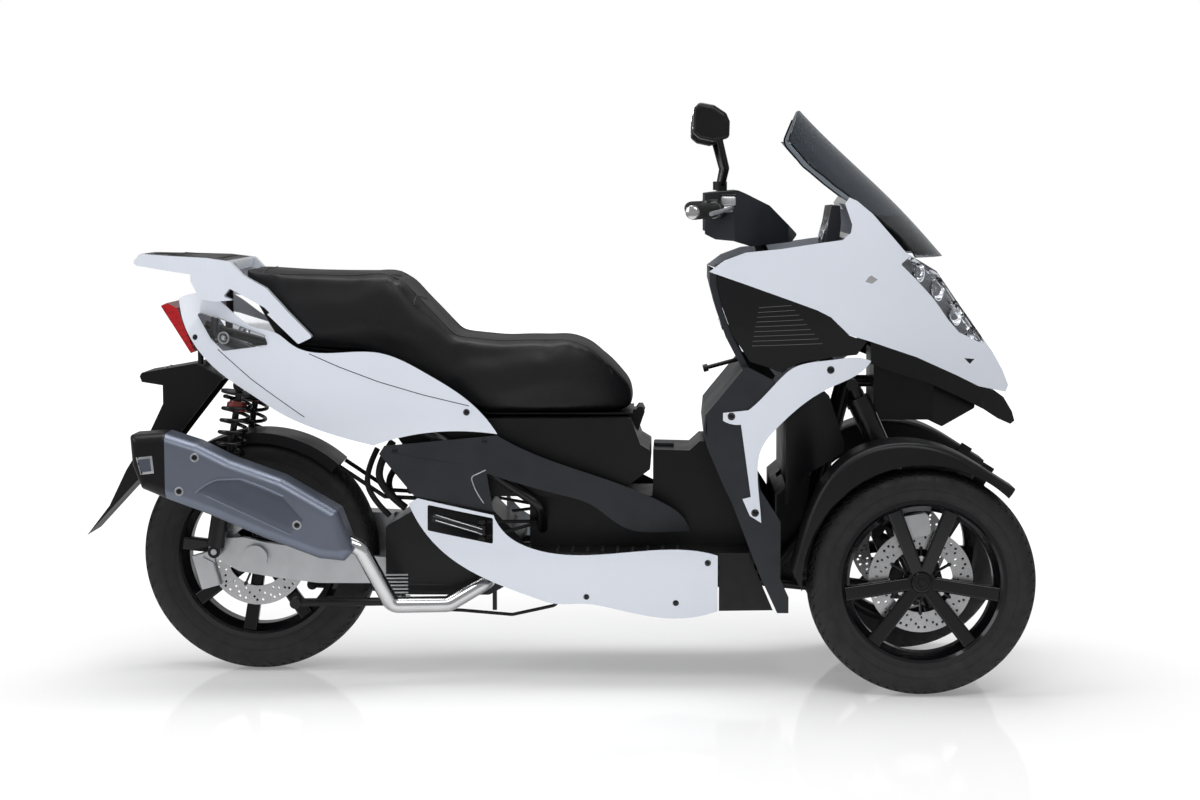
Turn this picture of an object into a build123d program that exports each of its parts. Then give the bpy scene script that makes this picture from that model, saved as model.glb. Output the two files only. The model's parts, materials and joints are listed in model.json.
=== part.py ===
from build123d import *
import os
from math import cos, radians, sin, tan

# Three-wheel tilting motor scooter in millimetres: +X forward, +Y to the rider's left, +Z up.
# The origin is on the floor, under the middle of the scooter's outline.

# Driving dimensions: wheelbase, track and wheels
WHEELBASE = 1566.0
DRAWN_WHEELBASE = 1566.0      # wheelbase that the body outlines below are drawn at
REAR_AXLE_X = -708.0
FRONT_AXLE_X = REAR_AXLE_X + WHEELBASE
FRONT_TRACK = 550.0
FRONT_WHEEL_Y = FRONT_TRACK / 2
FRONT_TYRE_R = 262.0
FRONT_TYRE_WIDTH = 110.0
FRONT_RIM_SEAT_R = 184.0
FRONT_RIM_HALF = 44.0
REAR_TYRE_R = 284.0
REAR_TYRE_WIDTH = 140.0
REAR_RIM_SEAT_R = 194.0
REAR_RIM_HALF = 56.0
FLANGE_HEIGHT = 12.0
FLANGE_WALL = 6.0
RIM_WALL = 6.0
TYRE_WALL = 9.0
DISC_R = 120.0
DISC_INNER_R = 74.0
DISC_WALL = 5.0
FRONT_SPOKE_PAIR_DEG = 43.0
FRONT_SPOKE_WIDTH = 34.0
REAR_SPOKES = 8
REAR_SPOKE_WIDTH = 33.0
REAR_SPOKE_START_DEG = -98.0

# Running clearances
BEARING_GAP = 0.3
SEAT_GAP = 0.3
PANEL_GAP = 0.6
MOVING_GAP = 6.0

# Steering
CASTER_DEG = 25.0
KINGPIN_Y = FRONT_WHEEL_Y - 35.0
KINGPIN_R = 10.0
KINGPIN_BOSS_R = 20.0
ARM_REACH = 75.0              # of each arm's eye from the wheel centre, along the kingpin
ARM_EYE_HEIGHT = 22.0
STUB_AXLE_R = 12.0
COLUMN_X = 470.0
COLUMN_Z = 1080.0
COLUMN_R = 14.0

# Body walls
SKIN = 4.0
TUB_WALL = 5.0
STUD_R = 8.0
STUD_REACH = 290.0
SHARP_DEG = 34.0

# Wheels, modelled about their own centre with the outer side towards -Y
FRONT_HUB_R = 32.0
FRONT_HUB_OUT = -24.0
FRONT_HUB_IN = 1.0
FRONT_CAP_R = 24.0
FRONT_CAP_WALL = 3.0
FRONT_BORE_END = -18.0
REAR_HUB_R = 38.0
REAR_HUB_HALF = 62.0
REAR_AXLE_R = 11.0
REAR_DISC_Y = -REAR_HUB_HALF - DISC_WALL

# Front knuckles, calipers and fenders, modelled about the right wheel's centre
KNUCKLE_FACE = FRONT_HUB_IN + DISC_WALL + MOVING_GAP
KINGPIN_OFFSET = FRONT_WHEEL_Y - KINGPIN_Y
KNUCKLE_HUB_R = 30.0
CALIPER_DEG = 100.0
CALIPER_LUG_DEG = 86.0
CALIPER_R = 128.0
CALIPER_LENGTH = 84.0
CALIPER_DEPTH = 52.0
CALIPER_SLOT = DISC_WALL + 4.0
CALIPER_OUT = -7.0
LUG_OUT = 22.0
LUG_IN = 31.0
FENDER_INNER_R = FRONT_TYRE_R + 13.0
FENDER_HALF = FRONT_TYRE_WIDTH / 2 + 11.0
FENDER_WALL = 3.0
FENDER_ROUND = 16.0

# Front suspension: centre tower, two arms a side and the tilting struts
TOWER_HALF = 55.0
ARM_R = 9.0
STRUT_Y = 134.0
STRUT_R = 23.0
STRUT_TOP = (FRONT_AXLE_X - 150, 702.0)
STRUT_FOOT_Z = 400.0

# Frame
RAIL_R = 15.0
RAIL_Y = 74.0
LOWER_RAIL_Z = 226.0
SEAT_RAIL_Y = 176.0
SEAT_RAIL_R = 12.0

# Power unit: engine block, belt case with the axle's left end, right arm, exhaust
ENGINE_HALF = 104.0
ENGINE_REAR = 313.0
ENGINE_LENGTH = 638.0
ARM_OUT = 96.0
ARM_IN = 76.0
CASE_IN = REAR_TYRE_WIDTH / 2 + MOVING_GAP
CASE_OUT = 150.0
SHOCK_Y = 128.0
SHOCK_FOOT = (REAR_AXLE_X - 92, 303.0)
SHOCK_HEAD = (REAR_AXLE_X - 25, 700.0)
STAND_X = REAR_AXLE_X + 323
STAND_Z = 177.0
STAND_R = 12.0
MUFFLER_Y = -250.0
MUFFLER_HALF = 58.0
MUFFLER_CAP_X = REAR_AXLE_X - 170
HOSE_Y = -68.0
HOSE_R = 4.0

# Tail: side panels, lamp, indicators and grab rail
RACK_UNDER_Z = 964.0
HOLDER_TOP_Z = 744.4
LAMP_FRONT_X = REAR_AXLE_X - 156.8
TAIL_PLAN = [(-900, 92), (-830, 120), (-780, 138), (-700, 160), (-640, 175), (-500, 192), (-400, 200),
             (-250, 206), (-100, 203)]
TAIL_CROWN = [(500, 26), (600, 7), (690, 0), (780, 3), (880, 16), (1000, 44)]
REAR_PANEL = [(-885, 903), (-780, 898), (-696, 839), (-637, 824), (-602, 799), (-397, 781), (-287, 735),
              (-178, 662), (-120, 591), (-397, 568), (-411, 563), (-583, 615), (-632, 638), (-691, 674),
              (-759, 716), (-828, 775)]
INDICATOR = [(-837, 871), (-781, 858), (-667, 819), (-660, 797), (-770, 782), (-800, 809)]

# Seat and the tub below it
SEAT_HINGE = (212.0, 634.0)
SEAT_PIN_R = 4.0
SEAT_TOP = [(206, 655), (198, 700), (151, 748), (95, 789), (43, 804), (-121, 802), (-216, 811)]
SEAT_REAR = [(-224, 811), (-349, 944), (-378, 960), (-570, 963), (-690, 971), (-736, 981), (-722, 925),
             (-650, 806)]
PAN_UNDER = [(-612, 788), (-423, 771), (-312, 725), (-199, 649), (-148, 630), (194, 630)]
PAN_WALL = 4.0
SEAT_UNDER = [(x, z + PAN_WALL + SEAT_GAP) for x, z in PAN_UNDER]
TUB_HALF = 158.0
TUB_REAR_HALF = 118.0

# Footwell, side panels, fuel flap
TUNNEL_HALF = 112.0
FLAP_HINGE_X = 288.0
FLAP_Z = 549.6
FLAP_LENGTH = 44.0
FLAP_WIDTH = 66.0
FLAP_BARREL_R = 3.0
FLAP_PIN_R = 1.4
FLOOR_Z = 318.0
FLOOR_HALF = 230.6
SHIELD_REAR = [(373, 969.2), (373, 940), (388, 882), (410, 820), (449, 746), (363, 641), (359, 599), (368, 567),
               (408, 473), (425, 439), (470, 321), (491, 267), (530, 183)]
MID_PLAN = [(-400, 198), (-250, 205), (-145, 206), (50, 200), (200, 180), (335, 148)]
MID_CROWN = [(300, 16), (380, 4), (460, 0), (541, 3), (620, 14)]
MID_PANEL = [(-385, 563), (-397, 544), (-315, 446), (-130, 410), (-145, 500), (-95, 484), (21, 451), (104, 422),
             (141, 393), (187, 365), (257, 356), (329, 356), (305, 399), (266, 426), (145, 480), (62, 509),
             (-87, 569), (-121, 588)]
LOWER_PLAN = [(-335, 208), (-128, 232), (54, 238), (250, 240), (395, 240)]
LOWER_CROWN = [(130, 34), (190, 14), (260, 2), (318, 0), (390, 3), (470, 14)]
LOWER_PANEL = [(-328, 428), (-307, 441), (-128, 405), (-70, 341), (-57, 335), (161, 318), (393, 313), (393, 180),
               (164, 182), (79, 197), (12, 197), (-29, 209), (-235, 308)]
PEG_REAR = (-271.0, 397.0)
PEG_FRONT = (-155.0, 368.0)
PEG_Y = 214.0
PEG_PIN_R = 5.0

# Front body
COWL_PLAN = [(360, 233), (456, 245), (625, 238), (745, 215), (855, 175), (953, 120), (1044, 60), (1092, 14)]
COWL = [(372, 970), (407, 996), (456, 1014), (537, 1022), (625, 1035), (678, 1042), (697, 1058), (700, 1077),
        (684, 1124), (694, 1139), (712, 1131), (748, 1101), (826, 1012), (900, 968), (960, 885), (1044, 774),
        (1071, 730), (1088, 692), (1081, 676), (1010, 694), (953, 723), (855, 769), (745, 808), (694, 824),
        (651, 866), (619, 882), (554, 906), (456, 941)]
COWL_WIDTHS = [(560, 0.93), (700, 0.985), (820, 1.0), (960, 1.0), (1030, 0.975), (1090, 0.93), (1160, 0.85)]
LAMP = [(815, 985), (836, 1002), (889, 982), (932, 938), (982, 872), (1024, 792), (958, 824), (932, 853),
        (892, 907), (852, 949)]
SHIELD_HALF = 262.0
FAIRING_PLAN = [(548, 258), (590, 236), (640, 190), (695, 145)]
WELL_X = 524.0
HUMP_HALF = 42.0
NOSE_X = 760.0
LIP_FRONT_X = 1020.0
COWL_LIP = [(745, 807.4), (855, 768.4), (953, 722.4), (1010, 693.4), (LIP_FRONT_X, 690.5), (LIP_FRONT_X, 640),
            (964, 670), (884, 708), (807, 733), (745, 757)]

# Screen and dash
SCREEN_WALL = 4.0
SCREEN = [(1000, 928, 850, 185), (1100, 838, 752, 190), (1200, 735, 623, 172), (1280, 650, 548, 142),
          (1342, 590, 500, 112)]
DASH_UNDER_Z = 979.0

# Handlebar
BAR_R = 11.0
BAR_BORE_R = 8.0
BAR_BORE_DEPTH = 60.0
GRIP_R = 17.0
BAR_PATH = [(330, -392, 1108), (395, -235, 1112), (452, -105, 1096), (452, 105, 1096), (395, 235, 1112),
            (330, 392, 1108)]

AXLE_Y = Vector(0, 1, 0)
STEER_UP = Vector(-sin(radians(CASTER_DEG)), 0, cos(radians(CASTER_DEG)))
SIDES = {"right": -1, "left": 1}

os.makedirs("parts", exist_ok=True)


def bx(x):
    """Place a drawn X on the real wheelbase: the body stretches between the axles."""
    behind = x - REAR_AXLE_X
    if behind <= 0:
        return x
    if behind >= DRAWN_WHEELBASE:
        return x + WHEELBASE - DRAWN_WHEELBASE
    return REAR_AXLE_X + behind * WHEELBASE / DRAWN_WHEELBASE


def flowing(points, sharp_deg=SHARP_DEG):
    """Closed side outline: smooth curves between the corners that turn by more than sharp_deg."""
    spots = [Vector(bx(x), 0, z) for x, z in points]
    count = len(spots)
    sharp = []
    for number in range(count):
        before = spots[number] - spots[number - 1]
        after = spots[(number + 1) % count] - spots[number]
        if before.get_angle(after) > sharp_deg:
            sharp.append(number)
    edges = []
    for start, end in zip(sharp, sharp[1:] + [sharp[0] + count]):
        run = [spots[number % count] for number in range(start, end + 1)]
        edges.append(Line(*run) if len(run) == 2 else Spline(*run))
    return make_face(edges)


def corners(points, radius=0.0):
    """Closed side outline of straight edges with rounded corners."""
    spots = [(bx(x), 0, z) for x, z in points]
    if radius:
        return make_face(FilletPolyline(*spots, radius=radius, close=True))
    return make_face(Polyline(*spots, close=True))


def across(face, y_from, y_to):
    """Extrude a side outline between two Y planes."""
    low, high = min(y_from, y_to), max(y_from, y_to)
    return Pos(0, low, 0) * extrude(face, amount=high - low, dir=(0, 1, 0))


def upright(face, z_from, z_to):
    """Extrude a plan outline between two heights."""
    return Pos(0, 0, z_from) * extrude(face, amount=z_to - z_from, dir=(0, 0, 1))


def plan_face(points, inset, z, lean):
    """Face at one height between a plan line, moved in by inset and lean, and the middle plane."""
    outer = Spline(*[(bx(x), y - inset - lean, z) for x, y in points])
    start, end = outer @ 0, outer @ 1
    return make_face([outer, Line(start, (start.X, 0, z)), Line((start.X, 0, z), (end.X, 0, z)),
                      Line((end.X, 0, z), end)])


def crowned(points, inset, crown):
    """Volume inside a plan line that leans inwards by the crown's amount at each height."""
    return loft([plan_face(points, inset, z, lean) for z, lean in crown])


def crowned_skin(points, crown):
    """Wall of body skin along a plan line, curved both ways."""
    return crowned(points, 0, crown) - crowned(points, SKIN, crown)


def plan_skin(points, wall, z_from, z_to):
    """Upright curved wall along a plan line of (x, y) points, its thickness inwards."""
    outer = Spline(*[(bx(x), y, 0) for x, y in points])
    inner = Spline(*[(bx(x), y - wall, 0) for x, y in points])
    face = make_face([outer, inner, Line(outer @ 0, inner @ 0), Line(outer @ 1, inner @ 1)])
    return upright(face, z_from, z_to)


def stud(x, z, y_from, points, crown):
    """Boss that reaches from y_from out to the inner face of a crowned panel."""
    return rod((bx(x), y_from, z), (bx(x), STUD_REACH, z), STUD_R) & crowned(points, SKIN + SEAT_GAP, crown)


def both_sides(solid):
    """A left-hand solid with its mirror image on the right."""
    return Compound(children=[*solid.solids(), *mirror(solid, about=Plane.XZ).solids()])


def rod(start, end, radius):
    """Straight round bar between two points."""
    start, end = Vector(*start), Vector(*end)
    run = end - start
    return extrude(Plane(origin=start, z_dir=run) * Circle(radius), amount=run.length)


def pipe(points, radius, bend):
    """Round bar or tube along straight runs with bends."""
    path = FilletPolyline(*points, radius=bend)
    return sweep(Plane(origin=path @ 0, z_dir=path % 0) * Circle(radius), path=path)


def ring_about_y(outer_r, inner_r, y_from, y_to):
    """Ring round the Y axis."""
    ring = Plane.XZ * (Circle(outer_r) - Circle(inner_r)) if inner_r else Plane.XZ * Circle(outer_r)
    return Pos(0, min(y_from, y_to), 0) * extrude(ring, amount=abs(y_to - y_from), dir=(0, 1, 0))


def spin(points_runs):
    """Revolve a (y, radius) section about the Y axis."""
    edges = []
    for run in points_runs:
        points = [Vector(0, y, r) for y, r in run]
        edges.append(Line(*points) if len(points) == 2 else Spline(*points))
    return revolve(make_face(edges), axis=Axis.Y, revolution_arc=360)


def save(name, shape):
    """Write one node."""
    solids = shape.solids()
    export_step(Compound(children=list(solids)) if len(solids) > 1 else solids[0], f"parts/{name}.step")


# Wheels, modelled about their own centre with the outer side towards -Y

def tyre(outer_r, width, seat_r, rim_half):
    """Round-crowned tyre, open towards the rim."""
    half = width / 2
    bead = rim_half - FLANGE_WALL - SEAT_GAP
    depth = outer_r - seat_r
    foot = seat_r + SEAT_GAP
    lip = foot + FLANGE_HEIGHT
    shoulder = [(half * 0.96, seat_r + depth * 0.42), (half, seat_r + depth * 0.6),
                (half * 0.86, seat_r + depth * 0.84), (half * 0.45, outer_r - depth * 0.035)]
    outer = [(bead, lip)] + shoulder + [(0, outer_r)]
    outer += [(-y, r) for y, r in reversed([(bead, lip)] + shoulder)]
    inner = [(y * (half - TYRE_WALL) / half, r - TYRE_WALL * (r - lip) / (outer_r - lip))
             for y, r in outer]
    inner[0] = (bead - TYRE_WALL, lip)
    inner[-1] = (TYRE_WALL - bead, lip)
    return spin([outer, [(-bead, lip), (-bead, foot)], [(-bead, foot), (TYRE_WALL - bead, foot)],
                 [(TYRE_WALL - bead, foot), (TYRE_WALL - bead, lip)], inner,
                 [(bead - TYRE_WALL, lip), (bead - TYRE_WALL, foot)],
                 [(bead - TYRE_WALL, foot), (bead, foot)], [(bead, foot), (bead, lip)]])


def rim_barrel(seat_r, half):
    """Rim band with a flange at each edge and a drop centre."""
    flange = half - FLANGE_WALL
    drop_r = seat_r - 14.0
    top = [(half, seat_r + FLANGE_HEIGHT), (flange, seat_r + FLANGE_HEIGHT), (flange, seat_r),
           (flange * 0.55, seat_r - 2), (flange * 0.35, drop_r)]
    top += [(-y, r) for y, r in reversed(top)]
    bottom = [(-half, seat_r), (-flange, seat_r - RIM_WALL), (-flange * 0.4, drop_r - RIM_WALL)]
    bottom += [(-y, r) for y, r in reversed(bottom)]
    section = make_face(Polyline(*[(0, y, r) for y, r in top + bottom], close=True))
    return revolve(section, axis=Axis.Y, revolution_arc=360)


def spoke(angle_deg, hub_r, rim_r, width, hub_y, rim_y):
    """One tapered spoke at an angle from +X towards +Z, dished from the hub out to the rim."""
    foot = Plane(origin=(hub_r, sum(hub_y) / 2, 0), x_dir=(0, 1, 0), z_dir=(1, 0, 0))
    tip = Plane(origin=(rim_r, sum(rim_y) / 2, 0), x_dir=(0, 1, 0), z_dir=(1, 0, 0))
    bar = loft([foot * RectangleRounded(hub_y[1] - hub_y[0], width * 0.9, 5),
                tip * RectangleRounded(rim_y[1] - rim_y[0], width, 5)])
    return Rot(0, -angle_deg, 0) * bar


def disc(y_from, hub_r, arms):
    """Brake disc on its spider."""
    y_to = y_from + DISC_WALL
    band = ring_about_y(DISC_R, DISC_INNER_R, y_from, y_to)
    band += ring_about_y(hub_r + 8, STUB_AXLE_R + 6, y_from, y_to)
    arm = Pos((hub_r + DISC_INNER_R) / 2, y_from + DISC_WALL / 2, 0) * Box(
        DISC_INNER_R - hub_r + 6, DISC_WALL, 14)
    for number in range(arms):
        band += Rot(0, 360 / arms * number, 0) * arm
    return band


def front_rim():
    rim_inner_r = FRONT_RIM_SEAT_R - RIM_WALL
    rim = rim_barrel(FRONT_RIM_SEAT_R, FRONT_RIM_HALF)
    rim += ring_about_y(FRONT_HUB_R, 0, FRONT_HUB_OUT, FRONT_HUB_IN)
    rim += ring_about_y(FRONT_CAP_R, 0, FRONT_HUB_OUT - FRONT_CAP_WALL, FRONT_HUB_OUT)
    for pair_deg in (90, 210, 330):
        for turn in (-FRONT_SPOKE_PAIR_DEG / 2, FRONT_SPOKE_PAIR_DEG / 2):
            rim += spoke(pair_deg + turn, FRONT_HUB_R - 10, rim_inner_r - 2, FRONT_SPOKE_WIDTH,
                         (FRONT_HUB_OUT, -5), (-FRONT_RIM_HALF + 6, -FRONT_RIM_HALF + 24))
    return rim - ring_about_y(STUB_AXLE_R + BEARING_GAP, 0, FRONT_BORE_END, FRONT_HUB_IN + 1)


def rear_rim():
    rim_inner_r = REAR_RIM_SEAT_R - RIM_WALL
    rim = rim_barrel(REAR_RIM_SEAT_R, REAR_RIM_HALF)
    rim += ring_about_y(REAR_HUB_R, 0, -REAR_HUB_HALF, REAR_HUB_HALF)
    for number in range(REAR_SPOKES):
        rim += spoke(REAR_SPOKE_START_DEG + 360 / REAR_SPOKES * number, REAR_HUB_R - 8,
                     rim_inner_r - 2, REAR_SPOKE_WIDTH, (-24, 0), (-REAR_RIM_HALF + 8, -REAR_RIM_HALF + 32))
    return rim - ring_about_y(REAR_AXLE_R + BEARING_GAP, 0, -REAR_HUB_HALF - 1, REAR_HUB_HALF + 1)


def to_front_wheel(solid, side):
    """Place a solid made for the right front wheel at either front wheel."""
    placed = Pos(FRONT_AXLE_X, -FRONT_WHEEL_Y, FRONT_TYRE_R) * solid
    return placed if side < 0 else mirror(placed, about=Plane.XZ)


for name, side in SIDES.items():
    save(f"front_tyre_{name}", to_front_wheel(
        tyre(FRONT_TYRE_R, FRONT_TYRE_WIDTH, FRONT_RIM_SEAT_R, FRONT_RIM_HALF), side))
    save(f"front_rim_{name}", to_front_wheel(front_rim(), side))
    save(f"front_disc_{name}", to_front_wheel(disc(FRONT_HUB_IN, FRONT_HUB_R, 6), side))

REAR_WHEEL = Pos(REAR_AXLE_X, 0, REAR_TYRE_R)
save("rear_tyre", REAR_WHEEL * tyre(REAR_TYRE_R, REAR_TYRE_WIDTH, REAR_RIM_SEAT_R, REAR_RIM_HALF))
save("rear_rim", REAR_WHEEL * rear_rim())
save("rear_disc", REAR_WHEEL * disc(REAR_DISC_Y, REAR_HUB_R, 5))

# Front knuckles, calipers and fenders, modelled about the right wheel's centre


def on_kingpin(distance):
    """Point on the kingpin axis, from the wheel centre."""
    return Vector(0, KINGPIN_OFFSET, 0) + STEER_UP * distance


def knuckle():
    body = ring_about_y(KNUCKLE_HUB_R, 0, KNUCKLE_FACE, KINGPIN_OFFSET)
    body += ring_about_y(STUB_AXLE_R, 0, FRONT_BORE_END + 1, KNUCKLE_FACE + 4)
    column_half = ARM_REACH - ARM_EYE_HEIGHT / 2 - BEARING_GAP
    pin_half = ARM_REACH + ARM_EYE_HEIGHT / 2
    body += rod(on_kingpin(-column_half), on_kingpin(column_half), KINGPIN_BOSS_R - 4)
    body += rod(on_kingpin(-pin_half), on_kingpin(pin_half), KINGPIN_R)
    lug_length = CALIPER_R - 6
    lug = Pos(lug_length / 2, (LUG_OUT + LUG_IN) / 2, 0) * Box(lug_length, LUG_IN - LUG_OUT, 18)
    body += Rot(0, -CALIPER_LUG_DEG, 0) * lug
    stay_y = FENDER_HALF + SEAT_GAP
    stay = Pos((FENDER_INNER_R + 30) / 2, stay_y + 2.5, 0) * Box(FENDER_INNER_R + 30, 5, 30)
    stay += ring_about_y(KNUCKLE_HUB_R - 4, 0, KINGPIN_OFFSET - 2, stay_y + 5)
    return body + Rot(0, -58, 0) * stay


def caliper():
    slot_y = FRONT_HUB_IN + DISC_WALL / 2
    caliper_in = LUG_OUT - SEAT_GAP
    block = Pos(CALIPER_R, (CALIPER_OUT + caliper_in) / 2, 0) * Box(
        CALIPER_DEPTH, caliper_in - CALIPER_OUT, CALIPER_LENGTH)
    block = fillet(block.edges().filter_by(Axis.Y), 12)
    block -= ring_about_y(DISC_R + 4, 0, slot_y - CALIPER_SLOT / 2, slot_y + CALIPER_SLOT / 2)
    return Rot(0, -CALIPER_DEG, 0) * block


def fender():
    """Mudguard over the tyre: top skin with a skirt on each side and a raised cap."""
    rear_foot = Vector(-FENDER_INNER_R, 0, -16)
    rear_out = Vector(-FENDER_INNER_R - 22, 0, 30)
    front_tip = Vector(206, 0, 220)
    front_foot = Vector(190, 0, 199)
    crown = [Vector(-250, 0, 185), Vector(-212, 0, 250), Vector(-150, 0, 302), Vector(-60, 0, 326),
             Vector(60, 0, 306), Vector(140, 0, 262)]
    inner_crown = [Vector(v.X * 0.985, 0, v.Z * 0.985) for v in crown]
    top = Spline(rear_out, *crown, front_tip)
    inside = ThreePointArc(rear_foot, Vector(-FENDER_INNER_R * 0.5, 0, FENDER_INNER_R * 0.866), front_foot)
    side_face = make_face([top, Line(front_tip, front_foot), inside, Line(rear_foot, rear_out)])
    shell = across_local(side_face, -FENDER_HALF, FENDER_HALF)
    shell = fillet(top_edges(shell), FENDER_ROUND)
    hollow_top = Spline(rear_out + Vector(2, 0, -3), *[v - v.normalized() * FENDER_WALL for v in crown],
                        front_tip + Vector(-3, 0, -FENDER_WALL))
    hollow = make_face([hollow_top, Line(hollow_top @ 1, Vector(150, 0, 60)),
                        Line(Vector(150, 0, 60), Vector(-150, 0, -40)),
                        Line(Vector(-150, 0, -40), hollow_top @ 0)])
    room = across_local(hollow, -FENDER_HALF + FENDER_WALL, FENDER_HALF - FENDER_WALL)
    return shell - fillet(top_edges(room), FENDER_ROUND - FENDER_WALL)


def top_edges(solid):
    """The long crown edges of a fender volume."""
    return solid.edges().filter_by(lambda edge: edge.geom_type == GeomType.BSPLINE)


def across_local(face, y_from, y_to):
    """Extrude an outline that is already in place between two Y planes."""
    return Pos(0, y_from, 0) * extrude(face, amount=y_to - y_from, dir=(0, 1, 0))


for name, side in SIDES.items():
    save(f"knuckle_{name}", to_front_wheel(knuckle(), side))
    save(f"front_caliper_{name}", to_front_wheel(caliper(), side))
    save(f"front_fender_{name}", to_front_wheel(fender(), side))

# Front suspension: centre tower, two arms a side and the tilting struts


def axle_point(distance, y):
    """Point of the left kingpin line in the scooter's frame, at another Y."""
    spot = STEER_UP * distance
    return Vector(FRONT_AXLE_X + spot.X, y, FRONT_TYRE_R + spot.Z)


def tower_face():
    foot = axle_point(-ARM_REACH, 0)
    head = axle_point(ARM_REACH, 0)
    tower_points = [(foot.X - 55, foot.Z - 28), (foot.X + 45, foot.Z - 28), (foot.X + 45, foot.Z + 30),
                    (head.X + 62, head.Z + 60), (head.X + 30, head.Z + 190), (head.X - 75, head.Z + 190),
                    (head.X - 62, head.Z)]
    return make_face(FilletPolyline(*[(x, 0, z) for x, z in tower_points], radius=14, close=True))


def suspension():
    foot = axle_point(-ARM_REACH, 0)
    head = axle_point(ARM_REACH, 0)
    tower = across_local(tower_face(), -TOWER_HALF, TOWER_HALF)
    hollow = across_local(make_face(FilletPolyline(
        (foot.X - 30, 0, foot.Z + 20), (foot.X + 22, 0, foot.Z + 34), (head.X + 36, 0, head.Z + 62),
        (head.X + 12, 0, head.Z + 150), (head.X - 48, 0, head.Z + 150), (head.X - 34, 0, head.Z + 8),
        radius=10, close=True)), -TOWER_HALF, TOWER_HALF)
    frame = tower - hollow
    for side in SIDES.values():
        for distance in (-ARM_REACH, ARM_REACH):
            eye = axle_point(distance, side * KINGPIN_Y)
            half = STEER_UP * (ARM_EYE_HEIGHT / 2)
            boss = rod(eye - half, eye + half, KINGPIN_BOSS_R)
            for spread in (-34, 34):
                inner = axle_point(distance, side * (TOWER_HALF - 4)) + Vector(spread, 0, 0)
                boss += rod(inner, eye - Vector(0, side * KINGPIN_BOSS_R * 0.9, 0), ARM_R)
            frame += boss - rod(eye - half * 2, eye + half * 2, KINGPIN_R + BEARING_GAP)
        strut_foot = strut_line(STRUT_FOOT_Z, side)
        seat = axle_point(ARM_REACH, side * STRUT_Y)
        frame += rod(seat - STEER_UP * 8, strut_foot, 12)
        frame += rod(strut_foot - Vector(0, 16, 0), strut_foot + Vector(0, 16, 0), 14)
    return frame


def strut_line(z, side):
    """Point on a strut's axis, which leans like the kingpins."""
    top_x, top_z = STRUT_TOP
    return Vector(top_x + (top_z - z) * tan(radians(CASTER_DEG)), side * STRUT_Y, z)


def strut(side):
    """Black cylinder with its alloy head and top eye."""
    body = rod(strut_line(STRUT_FOOT_Z + 13, side), strut_line(628, side), STRUT_R)
    body += rod(strut_line(628, side), strut_line(672, side), STRUT_R + 3)
    body += rod(strut_line(672, side), strut_line(690, side), 13)
    eye = strut_line(702, side)
    body += rod(eye - Vector(0, 13, 0), eye + Vector(0, 13, 0), 14)
    return body


save("front_suspension", suspension())
save("front_struts", Compound(children=[s for side in SIDES.values() for s in strut(side).solids()]))

# Frame


def lower_rail(side, gap):
    """Tube from the steering head down and back under the floor."""
    y = side * RAIL_Y
    return pipe([(bx(700), y, 700), (bx(610), y, LOWER_RAIL_Z + 130), (bx(500), y, LOWER_RAIL_Z),
                 (bx(40), y, LOWER_RAIL_Z), (bx(-20), y, 330)], RAIL_R + gap, 40)


def tower_stay(side, gap):
    """Rod from a lower rail forward to the foot of the suspension tower."""
    return rod((bx(505), side * RAIL_Y, LOWER_RAIL_Z), (FRONT_AXLE_X - 30, side * (TOWER_HALF - 14), 190), 12 + gap)


def frame_rails(side):
    """One side of the frame: from the steering head down, under the floor, and up to the tail."""
    y = side * RAIL_Y
    rail = lower_rail(side, 0)
    seat_y = side * SEAT_RAIL_Y
    rail += pipe([(bx(-20), y, 330), (bx(-20), seat_y, 420), (bx(-250), seat_y, 575),
                  (bx(-600), side * 146, 748), (bx(-850), side * 70, 830)], SEAT_RAIL_R, 30)
    return rail


def main_frame():
    frame = frame_rails(-1) + frame_rails(1)
    head_low = Vector(bx(COLUMN_X), 0, COLUMN_Z) - STEER_UP * 330
    head_high = Vector(bx(COLUMN_X), 0, COLUMN_Z) - STEER_UP * 150
    head = rod(head_low, head_high, COLUMN_R + 12)
    tower = across_local(offset(tower_face(), amount=SEAT_GAP), -TOWER_HALF - SEAT_GAP, TOWER_HALF + SEAT_GAP)
    for side in SIDES.values():
        head += rod((bx(700), side * RAIL_Y, 700), head_low + STEER_UP * 60 + Vector(0, side * 10, 0), RAIL_R)
        frame += tower_stay(side, 0)
        strut_head = strut_line(STRUT_TOP[1], side)
        frame += rod((bx(700), side * RAIL_Y, 700), strut_head - Vector(0, side * 14.5, 0), 9)
        frame += rod((bx(700), side * RAIL_Y, 700), (bx(NOSE_X) - SEAT_GAP, side * RAIL_Y, 700), 8)
        frame += tail_mounts(side) + peg_bracket(side) + panel_studs(side)
        engine_front = REAR_AXLE_X + ENGINE_LENGTH + SEAT_GAP
        mount_length = bx(0) - engine_front
        frame += Pos(engine_front + mount_length / 2, side * 56, 296) * Box(mount_length, 14, 40)
    stay_x, stay_z = COLUMN_X + 84, 900
    head += rod((bx(stay_x), -44, stay_z), (bx(stay_x), 44, stay_z), 10)
    head -= rod(head_low - STEER_UP * 40, head_high + STEER_UP * 5, COLUMN_R + BEARING_GAP)
    frame += head
    for side in SIDES.values():
        frame += rod((bx(stay_x), side * 44, stay_z - 8), (bx(stay_x), side * 44, DASH_UNDER_Z), 8)
    for x in (470, 240, 60):
        frame += rod((bx(x), -RAIL_Y, LOWER_RAIL_Z), (bx(x), RAIL_Y, LOWER_RAIL_Z), 12)
    frame += rod((bx(0), -RAIL_Y, 296), (bx(0), RAIL_Y, 296), 14)
    return frame - tower


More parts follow.
